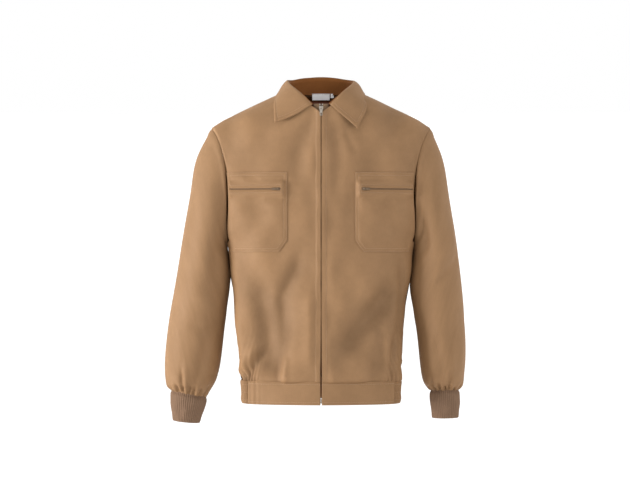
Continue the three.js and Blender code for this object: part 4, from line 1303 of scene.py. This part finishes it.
# ---- Pockets and zips ----
ZIP_Z = DATUM_Z - 211 * MM
POCKET_INNER = 71 * MM
POCKET_TOP = DATUM_Z - 175 * MM
POCKET_LOW = DATUM_Z - 344 * MM
CHAMFER = (18 * MM, 24 * MM)
WINDOW_HALF = 56 * MM
WINDOW_RISE = 6.5 * MM


class Placed:
    """A zip's own frame: X across the chain, Y into the jacket, Z along it."""

    def __init__(self, origin, x, y, z):
        self.origin = np.array(origin, float)
        self.axes = np.array([x, y, z], float)

    def out(self, points):
        return self.origin + np.asarray(points, float) @ self.axes

    def back(self, points):
        return (np.asarray(points, float) - self.origin) @ self.axes.T


def pocket_frame(side):
    def at(x):
        return body_point("front", side * x, ZIP_Z)

    inner, outer, middle = at(81 * MM), at(193 * MM), at(137 * MM)
    along = (outer - inner) / np.linalg.norm(outer - inner)
    inward = np.cross([0, 0, 1], along) * side
    origin = ((inner + outer) / 2 + middle) / 2 - inward * 5.6 * MM + inward * 0.8 * MM
    z_axis = -along
    return Placed(origin, np.cross(inward, z_axis), inward, z_axis)


def main_frame():
    tilt = -math.atan((DEPTH_HEM - DEPTH_NECK) / (ZIP_TOP_Z - HEM_Z))
    y_axis = np.array([0, math.cos(tilt), math.sin(tilt)])
    z_axis = np.array([0, -math.sin(tilt), math.cos(tilt)])
    face = body_point("front", 0.0, ZIP_TOP_Z)
    return Placed(face + y_axis * 6.9 * MM, [1, 0, 0], y_axis, z_axis)


# The depth at which a lip of cloth lies once it is flattened at its end.
FLAT_DEPTH = -0.9 * MM


def strip(name, place, profile, z, finish, body, round_off=0.0, squash=None):
    """A closed profile (x and y) carried along a zip's Z through the stations z.

    It lies flat at FLAT_DEPTH where squash is 0.
    """
    profile = np.array(profile, float) * MM
    n = len(profile)
    flat = np.ones(len(z)) if squash is None else squash
    y = [(profile[:, 1] - FLAT_DEPTH) * f + FLAT_DEPTH for f in flat]
    verts = np.concatenate([np.column_stack([profile[:, 0], yy, np.full(n, s)]) for yy, s in zip(y, z)])
    faces = []
    for r in range(len(z) - 1):
        for k in range(n):
            faces.append((r * n + k, r * n + (k + 1) % n, (r + 1) * n + (k + 1) % n, (r + 1) * n + k))
    faces.append(tuple(range(n))[::-1])
    faces.append(tuple(range((len(z) - 1) * n, len(z) * n)))
    return shaped(name, place.out(verts), faces, finish, body, round_off)


def shaped(name, verts, faces, finish, body, round_off):
    """A hard piece: faces turned outwards, then its edges rounded."""
    obj = new_object(name, verts, faces, [finish], body)
    bm = bmesh.new()
    bm.from_mesh(obj.data)
    bmesh.ops.recalc_face_normals(bm, faces=bm.faces)
    bm.to_mesh(obj.data)
    bm.free()
    if round_off:
        bevel = obj.modifiers.new("rounded", "BEVEL")
        bevel.width = round_off
        bevel.segments = 3
        bevel.limit_method = "ANGLE"
        bevel.angle_limit = math.radians(30)
        obj.data.polygons.foreach_set("use_smooth", np.ones(len(obj.data.polygons), bool))
    return obj


def teeth(name, place, side, start, stop, pitch, reach, thick, tip, body):
    """One row of moulded teeth: a square root, a neck and a rounded head that points at the other row."""
    count = int((stop - start) / pitch)
    verts, faces = [], []
    heads = [(reach, 0.30), (reach * 0.62, 0.30), (reach * 0.3, 0.20), (0.0, 0.42), (-0.25 * MM, 0.2)]
    for k in range(count):
        centre = start + (k + (0.25 if side > 0 else 0.75)) * pitch
        base = len(verts)
        for out, width in heads:
            w = width * pitch
            t = thick * (0.5 if out > 0.1 * MM else 0.42)
            for dz, dy in ((-w, -t), (w, -t), (w, t), (-w, t)):
                verts.append((side * (tip + out), dy, centre + dz * 0.82))
        rings = len(heads)
        for r in range(rings - 1):
            for c in range(4):
                a, b = base + r * 4 + c, base + r * 4 + (c + 1) % 4
                faces.append((a, b, b + 4, a + 4))
        faces.append(tuple(base + c for c in (3, 2, 1, 0)))
        faces.append(tuple(base + (rings - 1) * 4 + c for c in (0, 1, 2, 3)))
    return shaped(name, place.out(np.array(verts)), faces, "teeth", body, 0.12 * MM)


def rounded_outline(points, radius, steps=5):
    """The outline (x and z) with its corners rounded."""
    points = [np.array(p, float) for p in points]
    out = []
    for k, here in enumerate(points):
        before, after = points[k - 1], points[(k + 1) % len(points)]
        a = (before - here) / np.linalg.norm(before - here)
        b = (after - here) / np.linalg.norm(after - here)
        r = min(radius, np.linalg.norm(before - here) / 2.1, np.linalg.norm(after - here) / 2.1)
        for t in np.linspace(0, 1, steps):
            out.append(here + a * r * (1 - t) ** 2 + b * r * t**2)
    return np.array(out)


def plate(name, place, outline, y0, y1, finish, body, round_off, hole=None):
    """A flat piece with the outline (x and z), from depth y0 to y1, with a hole of as many points."""
    n = len(outline)
    loops = [outline] if hole is None else [outline, hole]
    verts = [(x, y, z) for loop in loops for y in (y0, y1) for x, z in loop]
    faces = []
    for m in range(len(loops)):
        base = m * 2 * n
        for k in range(n):
            faces.append((base + k, base + (k + 1) % n, base + n + (k + 1) % n, base + n + k))
    if hole is None:
        faces += [tuple(range(n)), tuple(range(n, 2 * n))]
    else:
        for layer in (0, n):
            for k in range(n):
                k1 = (k + 1) % n
                faces.append((layer + k, layer + k1, layer + 2 * n + k1, layer + 2 * n + k))
    return shaped(name, place.out(np.array(verts)), faces, finish, body, round_off)


def zip_slider(name, place, z0, width, length, inside, plate_thick, eye_y, finish, body, node):
    """Two waisted plates, with the bridge that carries the pull."""
    half = width / 2
    outline = [(-half, z0), (half, z0), (half * 0.8, z0 - length), (-half * 0.8, z0 - length)]
    outline = rounded_outline(outline, width * 0.3)
    pieces = []
    for word, a, b in (("front", -inside - plate_thick, -inside), ("back", inside, inside + plate_thick)):
        pieces.append(plate(f"{name}_{word}", place, outline, a, b, finish, body, 0.2 * MM))
    bar = 0.95 * MM
    over_pin = 1.2 * MM
    foot = -inside - plate_thick * 0.5
    arch = []
    for t in np.linspace(0, 1, 13):
        z = z0 - length * (0.1 + 0.68 * t)
        y = foot + (eye_y - over_pin - foot) * math.sin(math.pi * t) ** 0.45
        arch.append((y, z))
    verts, faces = [], []
    for k, (y, z) in enumerate(arch):
        for x, dy in ((-bar, -0.3), (bar, -0.3), (bar, 0.3), (-bar, 0.3)):
            verts.append((x, y + dy * MM, z))
    for k in range(len(arch) - 1):
        for c in range(4):
            a, b = k * 4 + c, k * 4 + (c + 1) % 4
            faces.append((a, b, b + 4, a + 4))
    faces += [(3, 2, 1, 0), tuple(len(verts) - 4 + c for c in range(4))]
    pieces.append(shaped(f"{name}_bridge", place.out(np.array(verts)), faces, finish, body, 0.2 * MM))
    for piece in pieces:
        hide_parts(node)


def zip_pull(name, place, eye_y, eye_z, width, length, finish, body, node):
    """A flat tab with a slot for a finger cord, hung on a cross pin."""
    half = width / 2
    low_z = eye_z - 3.6 * MM - length
    thick = 0.55 * MM
    neck = half * 0.72
    eyelet = [(-neck, eye_z + 0.6 * MM), (neck, eye_z + 0.6 * MM), (half * 0.95, eye_z - 4.2 * MM)]
    eyelet = rounded_outline(eyelet + [(-half * 0.95, eye_z - 4.2 * MM)], 0.6 * MM)
    bore = [(-1.15, -0.35), (1.15, -0.35), (1.15, -3.0), (-1.15, -3.0)]
    bore = rounded_outline([(a * MM, eye_z + b * MM) for a, b in bore], 0.3 * MM)
    piece = plate(f"{name}_eye", place, eyelet, eye_y - thick, eye_y + thick, finish, body, 0.15 * MM, bore)
    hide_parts(node)
    outline = [(-half * 0.9, eye_z - 3.5 * MM), (half * 0.9, eye_z - 3.5 * MM), (half, eye_z - 5 * MM)]
    outline += [(half, low_z), (-half, low_z), (-half, eye_z - 5 * MM)]
    outline = rounded_outline(outline, 0.7 * MM)
    hx = half - 1.5 * MM
    hole_low, hole_high = low_z + 1.7 * MM, low_z + length * 0.42
    hole = [(-hx, hole_high), (hx, hole_high), (hx, (hole_low + hole_high) / 2 + 0.2 * MM)]
    hole += [(hx, hole_low), (-hx, hole_low), (-hx, (hole_low + hole_high) / 2 + 0.2 * MM)]
    hole = rounded_outline(hole, 0.9 * MM)
    piece = plate(f"{name}_tab", place, outline, eye_y - thick, eye_y + thick, finish, body, 0.2 * MM, hole)
    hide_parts(node)


class JACKET_OT_pockets(bpy.types.Operator):
    """Sews on the two chest pockets, with their welts"""

    bl_idname = "jacket.pockets"
    bl_label = "Pockets"

    def execute(self, context):
        for word, side in SIDES:
            self.pocket(word, side, context.scene.jacket_sizes.folds)
        return {"FINISHED"}

    def outer_edge(self, z):
        return np.minimum(armhole_x(z), section_width(z) * 0.985) - 4 * MM

    def skin(self, side, x, z, strength):
        """A point of the patch and its outward direction. x and z are from the middle and up."""
        place = pocket_frame(side)
        outer = self.outer_edge(z)
        floor = mix(POCKET_LOW + CHAMFER[1], POCKET_LOW, np.clip((x - POCKET_INNER) / CHAMFER[0], 0, 1))
        inset = np.minimum(np.minimum(x - POCKET_INNER, outer - x), np.minimum(POCKET_TOP - z, z - floor))
        normal = body_normal("front", side * x, z)
        swell = 1.3 * MM * smooth(inset / (16 * MM))
        puff = 1.2 * MM + swell + 0.4 * MM * np.sqrt(np.clip(inset / (3 * MM), 0, 1))
        puff = puff - 0.35 * MM * (bell(inset - 1.8 * MM, 0.8 * MM) + bell(inset - 7.4 * MM, 0.9 * MM))
        sag = fold(side * x, z, [(side * 120, 250), (side * 140, 300), (side * 150, 336)], 24, 1.6, 0.0)
        sag = sag + 0.8 * MM * ripple(side * x, z, 60 * MM, 81 + side)
        lift = puff + (sag * smooth(inset / (12 * MM)) + body_relief("front", side * x, z, 1.0)) * strength
        points = body_point("front", side * x, z) + normal * lift[..., None]
        # level with the zip round its window
        local = place.back(points)
        beside = smooth((WINDOW_HALF + 12 * MM - np.abs(local[..., 2])) / (11 * MM))
        near = beside * smooth((WINDOW_RISE + 15 * MM - np.abs(z - ZIP_Z)) / (12 * MM))
        level = -1.7 * MM - 0.5 * MM * bell(np.abs(z - ZIP_Z) - WINDOW_RISE, 1.6 * MM)
        shift = (level - local[..., 1]) * near * smooth(inset / (7 * MM))
        return points + place.axes[1] * shift[..., None], normal

    def pocket(self, word, side, strength):
        place = pocket_frame(side)
        middle = abs(place.origin[0])
        reach = WINDOW_HALF * abs(place.axes[2][0])
        x_in, x_out = middle - reach, middle + reach
        edge = float(self.outer_edge(np.array(ZIP_Z)))
        cols = edges((POCKET_INNER, POCKET_INNER + 4 * MM, 7), (POCKET_INNER + 4 * MM, x_in, 9),
                     (x_in, x_out, 84),
                     (x_out, edge, 7))[None, :]
        fill = edges((0, 0.03, 7), (0.03, 1, 84))[:, None]
        floor = mix(POCKET_LOW + CHAMFER[1], POCKET_LOW, np.clip((cols - POCKET_INNER) / CHAMFER[0], 0, 1))
        low_z = mix(floor, ZIP_Z - WINDOW_RISE, fill)
        high_z = edges((ZIP_Z - WINDOW_RISE, ZIP_Z + WINDOW_RISE, 6),
                       (ZIP_Z + WINDOW_RISE, POCKET_TOP - 4 * MM, 20),
                       (POCKET_TOP - 4 * MM, POCKET_TOP, 7))[1:, None]
        z = np.concatenate([low_z, high_z + 0 * cols])
        x = POCKET_INNER + (cols - POCKET_INNER) * (self.outer_edge(z) - POCKET_INNER) / (edge - POCKET_INNER)
        points, _ = self.skin(side, x, z, strength)
        mid_x = (cols[:, 1:] + cols[:, :-1]) / 2
        mid_z = (z[1:, 1:] + z[:-1, :-1]) / 2
        skip = (np.abs(mid_z - ZIP_Z) < WINDOW_RISE) & (mid_x > x_in) & (mid_x < x_out)
        patch = cloth_piece(f"{word}_pocket", points, CLOTH, "jacket", out_of_body, skip=skip)
        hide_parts(f"{word}_pocket_patch")
        self.sew(word, side, strength, x_in, x_out)
        for row, s in (("upper", side), ("lower", -side)):
            lip = [(6.9, -1.5), (6.7, -2.3), (5.6, -2.75), (4.4, -2.5), (3.75, -1.75), (2.2, -1.32),
                   (1.25, -1.26),
                   (1.1, -1.08), (1.25, -0.92), (4, -0.9), (6.9, -0.75)]
            half = 57.4 * MM
            stations = np.linspace(-half, half, 60)
            squash = smooth((half - np.abs(stations)) / (3 * MM))
            welt = strip(f"{word}_pocket_{row}_welt", place, [(s * a, b) for a, b in lip], stations,
                         "drill", "jacket",
                         squash=squash)
            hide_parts(f"{word}_pocket_patch")

    def sew(self, word, side, strength, x_in, x_out):
        rows = []
        for inset in (1.8 * MM, 7.4 * MM):
            corner = (POCKET_INNER + inset, DATUM_Z - 320 * MM + inset * 0.5)
            foot = (POCKET_INNER + CHAMFER[0] + inset * 0.45, POCKET_LOW + inset)
            right = float(self.outer_edge(np.array(POCKET_LOW))) - inset
            path = [(POCKET_INNER + inset, POCKET_TOP - inset), corner, foot, (right, POCKET_LOW + inset)]
            rows.append(path)
            rows.append([(POCKET_INNER + inset, POCKET_TOP - inset),
                         (float(self.outer_edge(np.array(POCKET_TOP))) - inset, POCKET_TOP - inset)])
        rise = WINDOW_RISE + 1.6 * MM
        box = [(x_in - 1.6 * MM, ZIP_Z - rise), (x_out + 0.8 * MM, ZIP_Z - rise),
               (x_out + 0.8 * MM, ZIP_Z + rise),
               (x_in - 1.6 * MM, ZIP_Z + rise), (x_in - 1.6 * MM, ZIP_Z - rise)]
        rows.append(box)
        sewn = []
        for row in rows:
            for (x0, z0), (x1, z1) in zip(row[:-1], row[1:]):
                t = np.linspace(0, 1, 80)
                points, normal = self.skin(side, mix(x0, x1, t), mix(z0, z1, t), strength)
                sewn.append((points + normal * 0.1 * MM, normal))
        stitches(f"{word}_pocket_stitches", sewn, "jacket")


class JACKET_OT_pocket_zips(bpy.types.Operator):
    """Makes the two pocket zips"""

    bl_idname = "jacket.pocket_zips"
    bl_label = "Pocket zips"

    def execute(self, context):
        pitch = context.scene.jacket_sizes.tooth * 0.75
        for word, side in SIDES:
            place = pocket_frame(side)
            half = WINDOW_HALF - 0.8 * MM
            for row, s in (("upper", side), ("lower", -side)):
                node = f"{word}_pocket_zip_{row}_teeth"
                chain = teeth(f"{word}_pocket_{row}_chain", place, s, -half, half, pitch, 2.2 * MM, 1.2 * MM,
                              0.55 * MM, "jacket")
                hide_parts(node)
                profile = [(s * 2.9, -0.35), (s * 6.6, -0.35), (s * 6.6, 0.35), (s * 2.9, 0.35)]
                tape = strip(f"{word}_pocket_{row}_band", place, profile, np.linspace(-half, half, 24),
                             "zip_tape",
                             "jacket", 0.1 * MM)
                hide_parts(f"{word}_pocket_zip_{row}_tape")
            start = WINDOW_HALF - 2.6 * MM
            inside = 1.35 * MM
            eye = -3.6 * MM
            zip_slider(f"{word}_pocket_runner", place, start, 6.6 * MM, 8 * MM, inside, 0.7 * MM, eye,
                       "pocket_metal", f"{word}_pocket_slider", f"{word}_pocket_zip_slider")
            zip_pull(f"{word}_pocket_handle", place, eye, start - 3.6 * MM, 4.8 * MM, 9 * MM,
                     "pocket_metal", f"{word}_pocket_pull", f"{word}_pocket_zip_pull")
        return {"FINISHED"}


class JACKET_OT_main_zip(bpy.types.Operator):
    """Makes the full-length zip, its stops, box and slider"""

    bl_idname = "jacket.main_zip"
    bl_label = "Front zip"

    def execute(self, context):
        place = main_frame()
        pitch = context.scene.jacket_sizes.tooth
        length = (ZIP_TOP_Z - HEM_Z) / abs(place.axes[2][2]) - 4 * MM
        for word, side in SIDES:
            low_z = -length + (16.4 if side < 0 else 11) * MM
            chain = teeth(f"front_zip_{word}_chain", place, side, low_z, -3.8 * MM, pitch, 3.0 * MM, 2.0 * MM,
                          0.5 * MM, "jacket")
            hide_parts(f"main_zip_{word}_teeth")
            z = np.linspace(-length + 10 * MM, 0, 120)
            profile = [(side * 3.4, -0.45), (side * 4.2, -0.75), (side * 5, -0.4), (side * 16, -0.35),
                       (side * 16, 0.35), (side * 3.4, 0.45)]
            tape = strip(f"front_zip_{word}_band", place, profile, z, "zip_tape", "jacket")
            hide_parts(f"main_zip_{word}_tape")
            stop = [(side * a, z) for a,
                    z in ((1.3 * MM, 0), (3.8 * MM, 0), (3.8 * MM, -3 * MM), (1.3 * MM, -3 * MM))]
            piece = plate(f"front_zip_{word}_stop", place, rounded_outline(stop, 0.7 * MM), -1.2 * MM,
                          1.2 * MM,
                          "metal", "jacket", 0.3 * MM)
            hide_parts(f"main_zip_{word}_top_stop")
        self.foot(place, length)
        start = -4.6 * MM
        eye = -9.1 * MM
        zip_slider("front_zip_runner", place, start, 9.6 * MM, 10 * MM, 1.75 * MM, 1.1 * MM, eye, "metal",
                   "main_slider",
                   "main_zip_slider")
        zip_pull("front_zip_handle", place, eye, start - 4.5 * MM, 5.6 * MM, 13 * MM, "metal", "main_pull",
                 "main_zip_pull")
        return {"FINISHED"}

    def foot(self, place, length):
        """The box at the bottom of the left tape, with the socket for the right tape's pin."""
        box = rounded_outline([(-3.8 * MM, -length), (3.8 * MM, -length), (3.8 * MM, -length + 9.4 * MM),
                               (-3.8 * MM, -length + 9.4 * MM)], 1.4 * MM)
        socket = rounded_outline([(-3.1 * MM, -length + 2.2 * MM), (-0.8 * MM, -length + 2.2 * MM),
                                  (-0.8 * MM, -length + 8.6 * MM), (-3.1 * MM, -length + 8.6 * MM)], 0.4 * MM)
        piece = plate("front_zip_box", place, box, -2.0 * MM, 2.0 * MM, "metal", "jacket", 0.35 * MM, socket)
        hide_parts("main_zip_retainer_box")
        top = -length + 16 * MM
        pin = [(-2.7, -0.8), (-1.2, -0.8), (-1.2, 0.8), (-2.7, 0.8)]
        z = np.linspace(-length + 2.6 * MM, top, 6)
        rod = strip("front_zip_pin", place, pin, z, "metal", "jacket", 0.25 * MM)
        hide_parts("main_zip_insertion_pin")


class JACKET_OT_stage(bpy.types.Operator):
    """Sets the pale floor, the soft lights and the camera"""

    bl_idname = "jacket.stage"
    bl_label = "Stage"

    def execute(self, context):
        scene = context.scene
        stage = scene.jacket_stage
        scene.view_settings.view_transform = "Standard"
        self.floor()
        world = bpy.data.worlds.new("room")
        scene.world = world
        world.use_nodes = True
        back = world.node_tree.nodes["Background"]
        back.inputs[0].default_value = (1.0, 1.0, 1.0, 1.0)
        back.inputs[1].default_value = stage.world
        self.light("key", (-4.35, -1.4, -0.7), 1.6, stage.key)
        self.light("fill", (3.4, -3.2, 1.2), 2.6, stage.fill)
        camera = bpy.data.cameras.new("camera")
        camera.sensor_width = 36
        width = 1.3545
        camera.lens = camera.sensor_width / width * stage.distance
        holder = bpy.data.objects.new("camera", camera)
        holder.location = (-0.0129, SEAM_Y - stage.distance, DATUM_Z - 0.3397)
        holder.rotation_euler = (math.pi / 2, 0, 0)
        scene.collection.objects.link(holder)
        scene.camera = holder
        return {"FINISHED"}

    def floor(self):
        """A wide disc below the hanging jacket, curved up at its rim."""
        low_z = HEM_Z - 0.26
        r = np.concatenate([[0.001], np.linspace(0.5, 7, 14), np.linspace(7.3, 9, 8)])[:, None]
        a = np.linspace(0, 2 * math.pi, 96, endpoint=False)[None, :]
        rise = 1.4 * np.clip((r - 7) / 2, 0, 1) ** 2
        points = np.stack([r * np.cos(a), r * np.sin(a), low_z + rise + 0 * a], axis=-1)
        mesh = bpy.data.meshes.new("floor")
        mesh.from_pydata(points.reshape(-1, 3).tolist(), [], grid_faces(len(r), 96, True))
        mesh.polygons.foreach_set("use_smooth", np.ones(len(mesh.polygons), bool))
        mesh.materials.append(material("floor"))
        obj = bpy.data.objects.new("floor", mesh)
        bpy.context.scene.collection.objects.link(obj)

    def light(self, name, place, size, power):
        data = bpy.data.lights.new(name, "AREA")
        data.size = size
        data.energy = power
        obj = bpy.data.objects.new(name, data)
        obj.location = place
        aim = Vector((0, SEAM_Y, DATUM_Z - 0.34)) - Vector(place)
        obj.rotation_euler = aim.to_track_quat("-Z", "Y").to_euler()
        bpy.context.scene.collection.objects.link(obj)


class JACKET_PT_panel(bpy.types.Panel):
    """Lists the jacket's pieces and settings"""

    bl_idname = "JACKET_PT_panel"
    bl_label = "Work jacket"
    bl_space_type = "VIEW_3D"
    bl_region_type = "UI"
    bl_category = "Jacket"

    def draw(self, context):
        layout = self.layout
        for operator in OPERATORS:
            layout.operator(operator.bl_idname)
        for group in (context.scene.jacket_sizes, context.scene.jacket_colours, context.scene.jacket_stage):
            for key in group.bl_rna.properties.keys():
                if key not in ("rna_type", "name"):
                    layout.prop(group, key)


OPERATORS = (
    JACKET_OT_body,
    JACKET_OT_waistband,
    JACKET_OT_sleeves,
    JACKET_OT_cuffs,
    JACKET_OT_collar,
    JACKET_OT_neck,
    JACKET_OT_pockets,
    JACKET_OT_pocket_zips,
    JACKET_OT_main_zip,
    JACKET_OT_stage,
)
CLASSES = (JacketSizes, JacketColours, JacketStage, *OPERATORS, JACKET_PT_panel)


def register():
    for cls in CLASSES:
        bpy.utils.register_class(cls)
    bpy.types.Scene.jacket_sizes = bpy.props.PointerProperty(type=JacketSizes)
    bpy.types.Scene.jacket_colours = bpy.props.PointerProperty(type=JacketColours)
    bpy.types.Scene.jacket_stage = bpy.props.PointerProperty(type=JacketStage)


def unregister():
    del bpy.types.Scene.jacket_stage
    del bpy.types.Scene.jacket_colours
    del bpy.types.Scene.jacket_sizes
    for cls in reversed(CLASSES):
        bpy.utils.unregister_class(cls)


def main():
    register()
    for operator in OPERATORS:
        group, name = operator.bl_idname.split(".")
        getattr(getattr(bpy.ops, group), name)()


if __name__ == "__main__":
    main()
